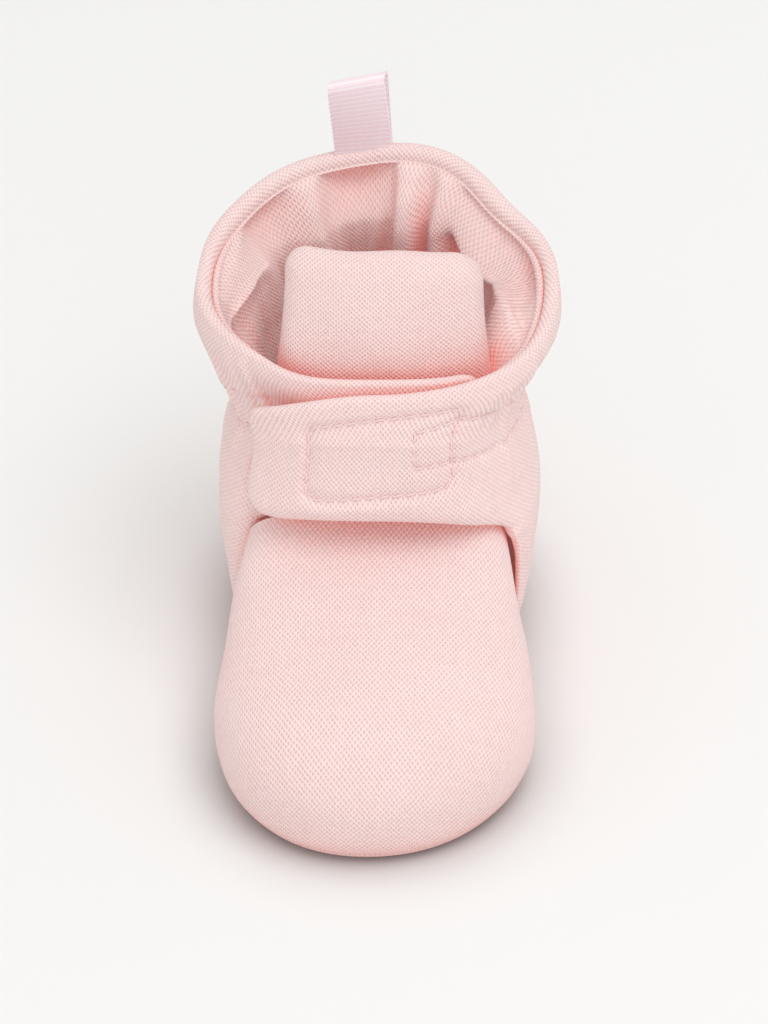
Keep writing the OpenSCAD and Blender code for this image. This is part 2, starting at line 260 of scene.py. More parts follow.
def flap_foot(s):
    a = angle_of(s)
    base = curve(a, [[-47, Z_CORNER], [-36, 43.0], [0, 48.5], [45, 53]])
    bend = CORNER_R * (1 - quarter((s + JOIN + 1.3) / CORNER_R))
    return base + tip_corner(s, S_FLAP, 4.0) - bend


def front_edge(z):
    """Where the heel panel's front edge runs, as s on the +X side, below the corner."""
    a = 58 - (z - SEAM_Z) * 0.29
    straight = np.interp(a, ANGLES, ARC)
    top = Z_CORNER - CORNER_R * 0.6
    bend = CORNER_R * 0.75 * (1 - quarter((top + 1.4 - z) / CORNER_R))
    return np.maximum(straight - bend, JOIN)


def polyline_distance(s, z, points):
    """Distance from each (s, z) to a polyline."""
    shape = np.broadcast(s, z).shape
    q = np.stack(np.broadcast_arrays(s, z), -1).reshape(-1, 2)
    best = np.full(len(q), 1e9)
    for a, b in zip(points[:-1], points[1:]):
        d = b - a
        t = np.clip(((q - a) @ d) / max(d @ d, 1e-9), 0, 1)
        best = np.minimum(best, np.linalg.norm(q - a - t[:, None] * d, axis=1))
    return best.reshape(shape)


def free_edge(side):
    """Free edge of the strap's side (1) or the flap's (-1) as (s, z) points: tip, foot, front edge."""
    z = np.concatenate([np.linspace(SEAM_Z - 8, 30, 20), np.linspace(30.2, float(strap_foot(JOIN)), 60)])
    end, foot, head = (S_TIP, strap_foot, strap_top) if side > 0 else (S_FLAP, flap_foot, flap_top)
    s = np.linspace(end, side * JOIN, 140)
    low = np.stack([s, foot(s)], 1)
    tip = np.stack([np.full(12, end), np.linspace(float(head(end)), low[0, 1], 12)], 1)
    edge = np.stack([side * front_edge(z[::-1]), z[::-1]], 1)
    return np.concatenate([tip, low[1:], edge])


EDGES = {1: free_edge(1), -1: free_edge(-1)}

# ---------------------------------------------------------------- stitch paths on the wrap, in (s, z)

ROW_HALF = 4.0
BOX = dict(s=0.5, z=58.95, half_s=15.4, half_z=7.4, r=3.0, tilt=0.107, grow=0.0025)


def box_path(box):
    """Box of stitches with rounded corners, tilted, as (s, z) points."""
    hs, hz, r = box["half_s"], box["half_z"], box["r"]
    pts = []
    for sx, sz, a0 in ((1, 1, 0), (-1, 1, 90), (-1, -1, 180), (1, -1, 270)):
        cx, cz = sx * (hs - r), sz * (hz - r)
        for k in range(7):
            t = math.radians(a0 + 90 * k / 6)
            pts.append((cx + r * math.cos(t), cz + r * math.sin(t)))
    pts.append(pts[0])
    pts = np.array(pts)
    pts[:, 1] *= 1 + box["grow"] * pts[:, 0]
    pts[:, 1] += box["z"] + pts[:, 0] * box["tilt"]
    pts[:, 0] += box["s"]
    return pts


BOX_PATH = box_path(BOX)
BOX_END_S = 7.6


def row_z(s, sign):
    """Height of the elastic channel's upper or lower row of stitches; the channel narrows to its end."""
    taper = 1 - ease((s - BOX_END_S) / 9)
    return ankle_z(angle_of(s)) + sign * ROW_HALF - (1.8 if sign > 0 else 0.7) * taper


def row_path(sign, s0, s1, n=240):
    s = np.linspace(s0, s1, n)
    return np.stack([s, row_z(s, sign)], 1)


END_TOP, END_FOOT = float(row_z(BOX_END_S, 1)), float(row_z(BOX_END_S, -1))
END_PATH = np.array([[BOX_END_S, END_TOP * k + END_FOOT * (1 - k)] for k in (1, 0.7, 0.3, 0)])


def dents(s, z, on_strap):
    """How far the outer cloth is drawn in along its stitching, and the gathers the elastic makes."""
    a = angle_of(s)
    za = ankle_z(a)
    dz = z - za
    d = np.zeros(np.broadcast(s, z).shape)
    if on_strap:
        rows = bell((z - row_z(s, 1)) / ROW_WELL) + bell((z - row_z(s, -1)) / ROW_WELL)
        reach = ease((s - BOX_END_S + 0.6) / 1.2)
        d -= 0.95 * bell(polyline_distance(s, z, BOX_PATH) / 1.15)
        inside = ease((BOX["half_s"] - np.abs(s - BOX["s"])) / 2) * ease(
            (BOX["half_z"] - np.abs(z - BOX["z"] - (s - BOX["s"]) * BOX["tilt"])) / 2
        )
        d -= 0.4 * inside
        d -= 0.6 * rows * reach * (1 - 0.35 * inside)
        d -= 0.3 * bell((s - BOX_END_S) / 0.7) * (z < row_z(s, 1)) * (z > row_z(s, -1))
        gather = ease((s - 16) / 12)
    else:
        rows = bell((np.abs(dz) - ROW_HALF) / ROW_WELL)
        # the under flap lies smooth beneath the strap
        gather = np.where(np.abs(s) < JOIN, 1 - ease((s + JOIN) / 8), 1.0)
        d -= 0.5 * rows * gather
    pucker = (
        0.5 * np.sin(s * 2 * math.pi / 4.9 + 0.7)
        + 0.35 * np.sin(s * 2 * math.pi / 7.7 + 2.0)
        + 0.3 * np.sin(s * 2 * math.pi / 3.3)
    )
    d += gather * 0.55 * pucker * bell(dz / 5.5)
    d += gather * 0.35 * pucker * bell((np.abs(dz) - 8) / 5)
    return d


# ---------------------------------------------------------------- folds inside the collar

def inner_folds(s, z):
    """How far the lining stands in from its resting place: positive towards the foot."""
    a = angle_of(s)
    b = np.where(a > 0, 180 - a, -180 - a)      # degrees from the middle of the back, + towards +X
    depth = rim_z(a) + rim_lift(s) - z          # millimetres below the rim
    down = ease(depth / 7)
    f = 5.2 * ease((depth - 0.5) / 13) * (1 - 0.45 * ease((depth - 15) / 12))
    # a bowl left of the middle, cut off by a sharp ridge on its +X side
    f -= 4.8 * ease(depth / 4.5) * (1 - 0.75 * ease((depth - 5) / 9)) * bell((b + 8) / 13)
    step = ease((b - 5.4 - 0.05 * depth) / 3.0) * (1 - ease((b - 11) / 14))
    f += 5.6 * ease((depth - 0.5) / 8) * step
    # the bowl's other side and the soft valley beyond it
    f += 3.8 * down * bell((b + 28) / 7.0)
    f -= 4.2 * ease(depth / 5) * (1 - 0.5 * ease((depth - 7) / 9)) * bell((b + 48) / 12)
    # soft valley, ridge and arched hollow on the +X side
    f -= 1.6 * down * bell((b - 20) / 4.0)
    f += 3.4 * down * bell((b - 29) / 5)
    f -= 5.0 * bell((b - 41) / 7) * bell((depth - 15) / 5)
    # the long fold that runs round inside the +X side, with a channel between it and the rim
    long_fold = ease((b - 22) / 22) * (1 - ease((b - 82) / 40))
    f += 3.2 * long_fold * bell((depth - 8.0 - 0.03 * b) / 4.2)
    f -= 1.6 * long_fold * bell((depth - 3.2) / 2.0)
    f -= 1.8 * bell((b - 80) / 7) * bell((depth - 4.5) / 3)
    f += 2.0 * bell((b - 100) / 9) * bell((depth - 5) / 4)
    # pillow and hollow on the -X side
    f += 3.6 * bell((b + 80) / 22) * bell((depth - 7.5) / 5.0)
    f -= 4.6 * bell((b + 104) / 18) * bell((depth - 12) / 5)
    f += 2.4 * bell((b + 58) / 8) * ease((depth - 3) / 8)
    # fine gathers close to the elastic
    f += 0.55 * ease((depth - 6) / 14) * np.sin(b * 0.55 + 1.0 + 0.06 * depth) * np.cos(b * 0.17)
    return f


# ---------------------------------------------------------------- meshes

def grid_faces(n, m, base=0, flip=False):
    i, j = np.meshgrid(np.arange(n - 1), np.arange(m - 1), indexing="ij")
    p = base + i * m + j
    quads = np.stack([p, p + m, p + m + 1, p + 1], -1).reshape(-1, 4)
    return quads[:, ::-1] if flip else quads


def steps(points, axis):
    """Running length of a grid along an axis."""
    d = np.linalg.norm(np.diff(points, axis=axis), axis=-1)
    c = np.cumsum(d, axis=axis)
    pad = [(0, 0)] * c.ndim
    pad[axis] = (1, 0)
    return np.pad(c, pad)


class Sheet:
    """One or more grids of points that make one mesh, with a cloth map in millimetres."""

    def __init__(self):
        self.co, self.uv, self.faces = [], [], []
        self.count = 0

    def add(self, points, uv, flip=False):
        n, m = points.shape[:2]
        self.faces.append(grid_faces(n, m, self.count, flip))
        self.co.append(points.reshape(-1, 3))
        self.uv.append(np.broadcast_to(uv, (n, m, 2)).reshape(-1, 2))
        self.count += n * m
        return self

    def arrays(self):
        return np.concatenate(self.co), np.concatenate(self.uv), np.concatenate(self.faces)


def smooth_normals(sheets):
    """Vertex normals over several sheets at once, so that they meet without a visible line."""
    parts = [s.arrays() for s in sheets]
    co = np.concatenate([p[0] for p in parts])
    keys = np.round(co / 0.004).astype(np.int64)
    _, weld = np.unique(keys, axis=0, return_inverse=True)
    weld = weld.ravel()
    total = np.zeros((weld.max() + 1, 3))
    base = 0
    for c, _, f in parts:
        v = c[f]
        n = np.cross(v[:, 2] - v[:, 0], v[:, 3] - v[:, 1])
        for k in range(4):
            np.add.at(total, weld[f[:, k] + base], n)
        base += len(c)
    length = np.linalg.norm(total, axis=1, keepdims=True)
    total = total / np.maximum(length, 1e-12)
    out, base = [], 0
    for c, _, _ in parts:
        out.append(total[weld[base:base + len(c)]])
        base += len(c)
    return out


def build(name, sheet, material, normals=None):
    co, uv, faces = sheet.arrays()
    v = co[faces]
    area = np.linalg.norm(np.cross(v[:, 2] - v[:, 0], v[:, 3] - v[:, 1]), axis=1)
    faces = faces[area > 1e-7]
    mesh = bpy.data.meshes.new(name)
    mesh.from_pydata((co * MM).tolist(), [], faces.tolist())
    mesh.validate()
    layer = mesh.uv_layers.new(name="cloth")
    loops = np.zeros(len(mesh.loops), np.int64)
    mesh.loops.foreach_get("vertex_index", loops)
    layer.data.foreach_set("uv", (uv[loops] * 0.01).astype(np.float32).ravel())
    mesh.polygons.foreach_set("use_smooth", np.ones(len(mesh.polygons), bool))
    mesh.materials.append(material)
    mesh.update()
    if normals is not None:
        mesh.normals_split_custom_set_from_vertices(normals.tolist())
    obj = bpy.data.objects.new(name, mesh)
    bpy.context.scene.collection.objects.link(obj)
    return obj


# ---------------------------------------------------------------- materials

def new_material(name):
    m = bpy.data.materials.new(name)
    m.use_nodes = True
    nt = m.node_tree
    nt.nodes.clear()
    out = nt.nodes.new("ShaderNodeOutputMaterial")
    bsdf = nt.nodes.new("ShaderNodeBsdfPrincipled")
    nt.links.new(bsdf.outputs[0], out.inputs[0])
    return m, nt, bsdf


class Nodes:
    """Short way to write node maths."""

    def __init__(self, nt):
        self.nt = nt

    def put(self, socket, value):
        if isinstance(value, bpy.types.NodeSocket):
            self.nt.links.new(value, socket)
        else:
            socket.default_value = value

    def op(self, kind, a, b=0.0, c=0.0):
        n = self.nt.nodes.new("ShaderNodeMath")
        n.operation = kind
        for socket, value in zip(n.inputs, (a, b, c)):
            self.put(socket, value)
        return n.outputs[0]

    def uv_mm(self):
        uv = self.nt.nodes.new("ShaderNodeUVMap")
        uv.uv_map = "cloth"
        sep = self.nt.nodes.new("ShaderNodeSeparateXYZ")
        self.nt.links.new(uv.outputs[0], sep.inputs[0])
        return self.op("MULTIPLY", sep.outputs[0], 100.0), self.op("MULTIPLY", sep.outputs[1], 100.0)

    def noise(self, x, y, scale, detail=2.0, z=0.0):
        comb = self.nt.nodes.new("ShaderNodeCombineXYZ")
        self.put(comb.inputs[0], x)
        self.put(comb.inputs[1], y)
        comb.inputs[2].default_value = z
        n = self.nt.nodes.new("ShaderNodeTexNoise")
        n.inputs["Scale"].default_value = scale
        n.inputs["Detail"].default_value = detail
        self.nt.links.new(comb.outputs[0], n.inputs["Vector"])
        return n.outputs[0]

    def ramp(self, value, low, high):
        n = self.nt.nodes.new("ShaderNodeMapRange")
        n.interpolation_type = "SMOOTHSTEP"
        self.put(n.inputs["Value"], value)
        n.inputs["From Min"].default_value = low
        n.inputs["From Max"].default_value = high
        return n.outputs["Result"]

    def mix(self, factor, a, b, kind="MIX"):
        n = self.nt.nodes.new("ShaderNodeMix")
        n.data_type = "RGBA"
        n.blend_type = kind
        self.put(n.inputs[0], factor)
        self.put(n.inputs[6], a)
        self.put(n.inputs[7], b)
        return n.outputs[2]

    def bump(self, height, distance):
        n = self.nt.nodes.new("ShaderNodeBump")
        n.inputs["Strength"].default_value = 1.0
        n.inputs["Distance"].default_value = distance
        self.nt.links.new(height, n.inputs["Height"])
        return n.outputs[0]

    def wave(self, x, period):
        return self.op("COSINE", self.op("MULTIPLY", x, 2 * math.pi / period))

    def half_up(self, x):
        """A wave between -1 and 1, moved to between 0 and 1."""
        return self.op("ADD", self.op("MULTIPLY", x, 0.5), 0.5)

    def uneven(self, noise, amount):
        """Noise centred on 0."""
        return self.op("MULTIPLY", self.op("SUBTRACT", noise, 0.5), amount)

    def open_to_light(self, samples, distance):
        """How open a point is: 1 out in the open, less deep in a fold."""
        n = self.nt.nodes.new("ShaderNodeAmbientOcclusion")
        n.samples = samples
        n.inputs["Distance"].default_value = distance
        return n.outputs["AO"]


def tinted(colour, factors):
    return tuple(c * k for c, k in zip(colour[:3], factors)) + (1,)


def set_inputs(bsdf, values):
    for key, value in values.items():
        bsdf.inputs[key].default_value = value


def knit(name, yarn, pit_shade, wale=1.0, course=1.10, depth=0.00024, seed=0.0):
    """Interlock knit: two rows of little loops set like bricks, with the pit between them painted darker and
    redder as painted shade.
    """
    m, nt, bsdf = new_material(name)
    n = Nodes(nt)
    u, v = n.uv_mm()
    u2 = n.op("ADD", u, n.uneven(n.noise(u, v, 0.35, 2.0, seed), 0.45))
    v2 = n.op("ADD", v, n.uneven(n.noise(u, v, 0.3, 2.0, seed + 5), 0.35))
    lattice = n.op("MULTIPLY", n.wave(u2, wale), n.wave(v2, course))
    height = n.op("ADD", n.op("MULTIPLY", lattice, 0.40), n.op("MULTIPLY", n.wave(u2, wale / 2), -0.19))
    height = n.op("ADD", height, 0.5)
    height = n.op("ADD", height, n.uneven(n.noise(u, v, 2.6, 3.0, seed + 2), 0.35))
    pit = n.op("SUBTRACT", 1.0, n.ramp(height, -0.08, 0.46))
    streak = n.noise(n.op("MULTIPLY", u, 0.06), v, 0.9, 2.0, seed + 9)
    cloud = n.noise(u, v, 0.08, 2.0, seed + 3)
    base = n.mix(n.ramp(streak, 0.3, 0.75), yarn, tinted(yarn, (0.985, 0.955, 0.955)))
    base = n.mix(n.op("MULTIPLY", n.ramp(cloud, 0.35, 0.7), 0.5), base, tinted(yarn, (1.0, 1.03, 1.04)))
    # painted shade: the pits between the loops are painted darker and redder than the yarn
    colour = n.mix(n.op("MULTIPLY", pit, 0.75), base, pit_shade)
    # a pink tint and a faint glow deep in the folds stand for light bounced and soaked through the cloth
    deep = n.op("SUBTRACT", 1.0, n.ramp(n.open_to_light(6, 0.024), 0.05, 0.75))
    rich = n.mix(deep, colour, (1.0, 0.69, 0.65, 1), "MULTIPLY")
    nt.links.new(rich, bsdf.inputs["Base Color"])
    nt.links.new(n.op("MULTIPLY", deep, 0.06), bsdf.inputs["Emission Strength"])
    m.cycles.emission_sampling = "NONE"
    set_inputs(bsdf, {
        "Emission Color": (1.0, 0.52, 0.49, 1),
        "Roughness": 0.92,
        "Specular IOR Level": 0.15,
        "Sheen Weight": 0.25,
        "Sheen Roughness": 0.5,
        "Sheen Tint": (1.0, 0.93, 0.92, 1),
    })
    fuzz = n.noise(u, v, 7.0, 3.0, seed + 4)
    total = n.op("ADD", height, n.op("MULTIPLY", fuzz, 0.18))
    nt.links.new(n.bump(total, depth), bsdf.inputs["Normal"])
    return m


def plain(name, colour, rough=0.85, fuzz_scale=6.0, depth=0.00012, sheen=0.2):
    m, nt, bsdf = new_material(name)
    n = Nodes(nt)
    u, v = n.uv_mm()
    f = n.noise(u, v, fuzz_scale, 3.0)
    shade = n.mix(n.ramp(f, 0.3, 0.7), tinted(colour, [0.93] * 3), colour)
    nt.links.new(shade, bsdf.inputs["Base Color"])
    set_inputs(bsdf, {"Roughness": rough, "Specular IOR Level": 0.2, "Sheen Weight": sheen})
    nt.links.new(n.bump(f, depth), bsdf.inputs["Normal"])
    return m


YARN = (1.0, 0.788, 0.772, 1)
# darker, redder colour painted into the knit's pits as painted shade
PIT_SHADE = (0.96, 0.56, 0.52, 1)
mat_outer = knit("outer_knit", YARN, PIT_SHADE)
# the lining is the same cloth as the outer knit, painted slightly pinker in yarn and pits as painted shade
# for the inside of the bootie
mat_lining = knit("lining_knit", (1.0, 0.78, 0.76, 1), (0.97, 0.54, 0.50, 1), seed=20.0)
mat_thread = plain("thread", (0.95, 0.74, 0.77, 1), 0.7, 12.0, 0.00006)
mat_rubber = plain("grip_rubber", (0.86, 0.80, 0.78, 1), 0.55, 3.0, 0.00003, 0.0)


def ribbon_material():
    """Ribbed ribbon: ribs across it with a painted highlight along each crest, a plain selvedge at each
    side.
    """
    m, nt, bsdf = new_material("ribbon")
    n = Nodes(nt)
    u, v = n.uv_mm()
    rib = n.half_up(n.wave(v, RIB_PITCH))
    # painted highlight: the crest of each rib is painted paler, near white
    line = n.ramp(rib, 0.82, 1.0)
    weave = n.half_up(n.wave(u, 0.32))
    base = n.mix(line, (0.96, 0.79, 0.85, 1), (1.0, 0.95, 0.97, 1))
    base = n.mix(n.op("MULTIPLY", weave, 0.12), base, (0.88, 0.72, 0.78, 1))
    nt.links.new(base, bsdf.inputs["Base Color"])
    set_inputs(bsdf, {"Roughness": 0.5, "Sheen Weight": 0.3, "Specular IOR Level": 0.35})
    h = n.op("ADD", n.op("MULTIPLY", rib, 0.7), n.op("MULTIPLY", weave, 0.3))
    nt.links.new(n.bump(h, 0.00012), bsdf.inputs["Normal"])
    return m


def tape_material(name, colour, pitch, depth, rough):
    """Hook or loop tape: a close field of little bumps, with painted shade between them."""
    m, nt, bsdf = new_material(name)
    n = Nodes(nt)
    u, v = n.uv_mm()
    dots = n.half_up(n.op("MULTIPLY", n.wave(u, pitch), n.wave(v, pitch)))
    h = n.op("ADD", dots, n.noise(u, v, 5.0, 3.0))
    # painted shade: the tape is painted darker where the bump height is low, between the bumps
    base = n.mix(n.ramp(h, 0.5, 1.3), tinted(colour, [0.78] * 3), colour)
    nt.links.new(base, bsdf.inputs["Base Color"])
    bsdf.inputs["Roughness"].default_value = rough
    nt.links.new(n.bump(h, depth), bsdf.inputs["Normal"])
    return m


mat_ribbon = ribbon_material()
mat_hook = tape_material("hook_tape", (0.93, 0.80, 0.80, 1), 0.9, 0.0003, 0.45)
mat_loop = tape_material("loop_tape", (0.93, 0.74, 0.73, 1), 0.6, 0.0002, 0.9)

# ---------------------------------------------------------------- heel panel, strap and under flap

# rows up the outside, over the rim, over the lining's roll and down the inside
N_UP, N_ROLL, N_ROLL_IN, N_LIN = 84, 13, 9, 56


def lobes(s):
    """Thickness of the rim's outer roll and of the lining's, and how deep the groove between them is."""
    a = np.abs(angle_of(s))
    back = ease((a - 88) / 44)
    return 3.0 + 1.3 * back, 1.7 - 1.3 * back, 1 - back


def free_distance(s, z, side):
    """Distance to the wrap's free edge on one side, or on either side for side 0."""
    if side:
        return polyline_distance(s, z, EDGES[side])
    return np.minimum(polyline_distance(s, z, EDGES[1]), polyline_distance(s, z, EDGES[-1]))


def slack(p):
    """Slight unevenness of the outer cloth at points p."""
    return 0.22 * ripple(p[..., 0], p[..., 1], p[..., 2], 17, 3)


def section(s, v_rows, z_lo, z_hi, out, side, thick, kind):
    """Outer and lining grids of the wrap for the columns s. v_rows runs 0 at the foot to 1 at the rim."""
    s = np.asarray(s, float)
    t1, t2, groove = lobes(s)
    scale = thick(s) / PAD
    t1, t2 = t1 * scale, t2 * scale
    total = t1 + t2
    r1 = t1 / 2
    base_top = z_hi - r1
    # outer wall
    S = s[:, None]
    Z = z_lo[:, None] + (base_top - z_lo)[:, None] * v_rows[None, :]
    p, n, u = wall_frame(S + 0 * Z, Z, out)
    edge = free_distance(S + 0 * Z, Z, side)
    if kind != "heel":
        edge[:, 0] = 0
        edge[0 if kind == "strap" else -1] = 0
    full = quarter(edge / EDGE_R)
    puff = 0.45 * (1 - np.exp(-edge / 6)) * bell((Z - (z_lo + z_hi)[:, None] / 2) / 16)
    puff = puff * ease((JOIN - np.abs(S)) / 14)
    mid = -total[:, None] / 2
    o = mid - mid * full + (dents(S + 0 * Z, Z, kind == "strap") + puff) * quarter(edge / 5)
    o = o + slack(p) * full
    outer = p + n * o[..., None]
    # roll over the rim, down into the groove
    th = np.linspace(0, math.pi, N_ROLL)[None, 1:]
    p_top, n_top, u_top = p[:, -1:], n[:, -1:], u[:, -1:]
    f_top = full[:, -1:]
    o_end = o[:, -1:]
    oc = -r1[:, None] + r1[:, None] * np.cos(th)
    oc = mid + (oc - mid) * f_top + (o_end - (mid - mid * f_top)) * np.cos(th / 2) ** 2
    e = r1[:, None] * np.sin(th) * f_top
    roll = p_top + n_top * oc[..., None] + u_top * e[..., None]
    dip = np.array([0.5, 1.0])[None, :]
    og = mid + (-t1[:, None] - 0.12 * groove[:, None] * dip - mid) * f_top
    eg = -(0.75 * groove[:, None]) * dip * f_top
    pit = p_top + n_top * og[..., None] + u_top * eg[..., None]
    outer_all = np.concatenate([outer, roll, pit], 1)
    # lining: starts in the groove, rolls over, runs down the inside
    r2 = t2 / 2
    th2 = np.linspace(0.15, math.pi, N_ROLL_IN)[None, :]
    o2 = -t1[:, None] - r2[:, None] + r2[:, None] * np.cos(th2)
    o2 = mid + (o2 - mid) * f_top
    swell = 0.25 * groove[:, None]
    crown = (r2[:, None] * groove[:, None] + swell) * np.sin(th2)
    e2 = (-0.55 * groove[:, None] + crown - 0.3 * (th2 / math.pi)) * f_top
    start = p_top + n_top * og[:, -1:, None] + u_top * eg[:, -1:, None]
    roll2 = p_top + n_top * o2[..., None] + u_top * e2[..., None]
    vl = np.linspace(1, 0, N_LIN)[None, 1:]
    Zl = z_lo[:, None] + (base_top - 0.85 * groove - z_lo)[:, None] * vl
    pl, nl, _ = wall_frame(S + 0 * Zl, Zl, out)
    edge_l = free_distance(S + 0 * Zl, Zl, side)
    if kind != "heel":
        edge_l[:, -1] = 0
        edge_l[0 if kind == "strap" else -1] = 0
    full_l = quarter(edge_l / EDGE_R)
    folds = inner_folds(S + 0 * Zl, Zl) * (1.0 if kind == "heel" else 0.0)
    a_abs = np.abs(angle_of(S + 0 * Zl))
    folds = folds * ease((a_abs - 50) / 22)
    ol = mid + (-total[:, None] - mid) * full_l - folds * quarter(edge_l / 6)
    inner = pl + nl * ol[..., None]
    lining = np.concatenate([start, roll2, inner], 1)
    return outer_all, lining


RISE = 1.06     # cloth length for each millimetre of height


def cloth_uv(points, s, lining=False):
    """Cloth map of a wrap grid: s across, and height up the wall, so that rows of loops run level."""
    v = steps(points, 1)
    if lining:
        k = N_ROLL_IN
        v[:, k:] = v[:, k:k + 1] + (points[:, k:k + 1, 2] - points[:, k:, 2]) * RISE
    else:
        k = points.shape[1] - N_ROLL - 1
        rolled = v[:, k:] - v[:, k - 1:k]
        v[:, :k] = points[:, :k, 2] * RISE
        v[:, k:] = v[:, k - 1:k] + rolled
    return np.stack([np.broadcast_to(s[:, None], v.shape), v], -1)


def strap_thick(s):
    return PAD - 1.0 * (1 - ease((np.abs(angle_of(s)) - 25) / 40))


def flap_thick(s):
    return PAD - 1.7 * ease((angle_of(s) + 76) / 44)


def heel_thick(s):
    return np.where(angle_of(s) < 0, flap_thick(s), strap_thick(s))


v_up = np.linspace(0, 1, N_UP)
v_up = v_up - 0.13 * np.sin(math.pi * v_up) * (1 - v_up) ** 1.5 * 1.6

# heel panel, above the corner
n_heel = 400
q = np.linspace(-1, 1, n_heel)
# the columns crowd at both front edges
span = 2 * HALF_ROUND - 2 * JOIN
CROWD = math.pi / 2 * 0.86      # nearer pi / 2 crowds them more
cols = JOIN + span * (0.5 + 0.5 * np.sin(q * CROWD) / math.sin(CROWD))


def wrapped(s):
    """s past the middle of the back counts on from the other side."""
    return np.where(s > HALF_ROUND, s - 2 * HALF_ROUND, s)


cols_w = wrapped(cols)
z_split = np.full(n_heel, float(strap_foot(np.array([JOIN]))[0]))      # the corner's height
a_cols = angle_of(cols_w)
z_rim = np.where((a_cols > 0) & (a_cols < 56), strap_top(cols_w), rim_z(a_cols)) + rim_lift(cols_w)
z_rim = z_rim + 0.3 * ripple(cols_w, 0 * cols_w, 0 * cols_w, 40, 11) * ease((np.abs(a_cols) - 60) / 30)
heel_top, heel_lin_top = section(cols_w, v_up, z_split, z_rim, heel_out, 0, heel_thick, "heel")

# heel panel, below the corner
N_LOW = 46
v_low = np.linspace(0, 1, N_LOW)


def heel_low(depth_fn, seam_in):
    """Grid of the heel panel from the sole seam, where it is tucked in by seam_in, to the corner."""
    zl = SEAM_Z + (z_split[:, None] - SEAM_Z) * v_low[None, :]
    # columns follow the front edges, which lean back towards the sole
    ef = front_edge(zl)
    t = (cols - JOIN)[:, None] / span
    # the lean dies away over the first third of the panel
    fade_r = 1 - ease(t / 0.3)
    fade_l = 1 - ease((1 - t) / 0.3)
    s = cols[:, None] + (ef - JOIN) * fade_r - (ef - JOIN) * fade_l
    s = wrapped(s)
    p, n, _ = wall_frame(s, zl, heel_out)
    edge = free_distance(s, zl, 0)
    edge[0] = edge[-1] = 0
    full = quarter(edge / EDGE_R)
    # the cloth is padded only at the collar and thins towards the sole
    front = ease((80 - np.abs(angle_of(s))) / 20)
    total = heel_thick(s) * (1 - 0.4 * ease((36 - zl) / 22)) * (1 - 0.35 * front * ease((39 - zl) / 10))
    mid = -total / 2
    o = depth_fn(s, zl, p, edge, full, total, mid)
    tuck = seam_in * (1 - quarter((zl - SEAM_Z + 0.15) / 7.0))
    o = o - tuck
    return p + n * o[..., None]


def low_cloth(s, z, p, edge, full, total, mid):
    return mid - mid * full + dents(s, z, False) * quarter(edge / 5) + slack(p) * full


def low_lining(s, z, p, edge, full, total, mid):
    return mid + (-total - mid) * full


CLOTH_TUCK, LINING_TUCK = 2.6, 0.8      # how far each is drawn in at the sole seam
low_outer = heel_low(low_cloth, CLOTH_TUCK)
low_inner = heel_low(low_lining, LINING_TUCK)
# the two halves share their row at the corner's height
low_outer[:, -1] = heel_top[:, 0]
low_inner[:, -1] = heel_lin_top[:, -1]

heel_outer = np.concatenate([low_outer[:, :-1], heel_top], 1)
heel_inner = np.concatenate([heel_lin_top, low_inner[:, ::-1][:, 1:]], 1)

# strap
n_strap = 190
qs = np.linspace(0, 1, n_strap)
s_strap = S_TIP + (JOIN - S_TIP) * (qs * 0.55 + 0.45 * (0.5 - 0.5 * np.cos(math.pi * qs)))
strap_outer, strap_lin = section(
    s_strap, v_up, strap_foot(s_strap), strap_top(s_strap), strap_out, 1, strap_thick, "strap"
)

# under flap, from its tip to the heel panel's other side
n_flap = 150
qf = np.linspace(0, 1, n_flap)
s_flap = S_FLAP + (-JOIN - S_FLAP) * (0.6 * qf + 0.4 * (0.5 - 0.5 * np.cos(math.pi * qf)))
flap_outer, flap_lin = section(
    s_flap[::-1], v_up, flap_foot(s_flap[::-1]), flap_top(s_flap[::-1]), flap_out, -1, flap_thick, "flap"
)

# the joining columns are shared exactly
strap_outer[-1] = heel_top[0]
strap_lin[-1] = heel_lin_top[0]
flap_outer[0] = heel_top[-1]
flap_lin[0] = heel_lin_top[-1]


s_flap_on = s_flap[::-1] + 2 * HALF_ROUND
wrap_grids = {
    "heel_panel_cloth": (heel_outer, cols),
    "strap_cloth": (strap_outer, s_strap),
    "under_flap_cloth": (flap_outer, s_flap_on),
    "heel_panel_inside": (heel_inner, cols),
    "strap_inside": (strap_lin, s_strap),
    "under_flap_inside": (flap_lin, s_flap_on),
}
wrap_sheets = [Sheet().add(g, cloth_uv(g, s, "inside" in name)) for name, (g, s) in wrap_grids.items()]
wrap = {
    name: build(name, sheet, mat_lining if "inside" in name else mat_outer, normals)
    for name, sheet, normals in zip(wrap_grids, wrap_sheets, smooth_normals(wrap_sheets))
}

# ---------------------------------------------------------------- toe panel

TOE_W = [
    [-1, 1], [-0.6, 1], [-0.45, 0.99], [-0.33, 0.965],
    [-0.24, 0.94], [-0.14, 0.905], [0, 0.84], [0.14, 0.785],
]
TOE_TIP = L - 1.3
TOE_H = [[-1, 24], [-0.75, 29], [-0.45, 33.5], [-0.17, 38], [0, 43], [0.14, 48]]
SQUARE_TOP = [[-1, 0.85], [-0.45, 0.7], [-0.1, 0.46], [0.14, 0.42]]
TOE_MID = 12.0
TOE_ROUND_L, TOE_ROUND_H, TOE_UNDER = 0.54 * L, 17.0, 3.2
TOE_C = -0.46 * L
TOE_SEAM = 2.0
TOE_CLOTH = 2.4             # thickness of the toe's cloth and lining
N_TOE_FRONT = 90            # rows round the toe's end


def toe_x0(y):
    return -2.0 * (1 - np.clip((y + L) / (0.6 * L), 0, 1)) ** 2 - 0.5 * ease((8 - y) / 16)


def toe_width(y, out=0.0):
    """Half width of the toe seen from above, a slightly squared ellipse at its end."""
    u = np.clip((y + TOE_TIP + out) / TOE_ROUND_L, 0, 1)
    return (curve(y / L, TOE_W) * W + out) * (1 - (1 - u) ** 2.12) ** (1 / 2.12)


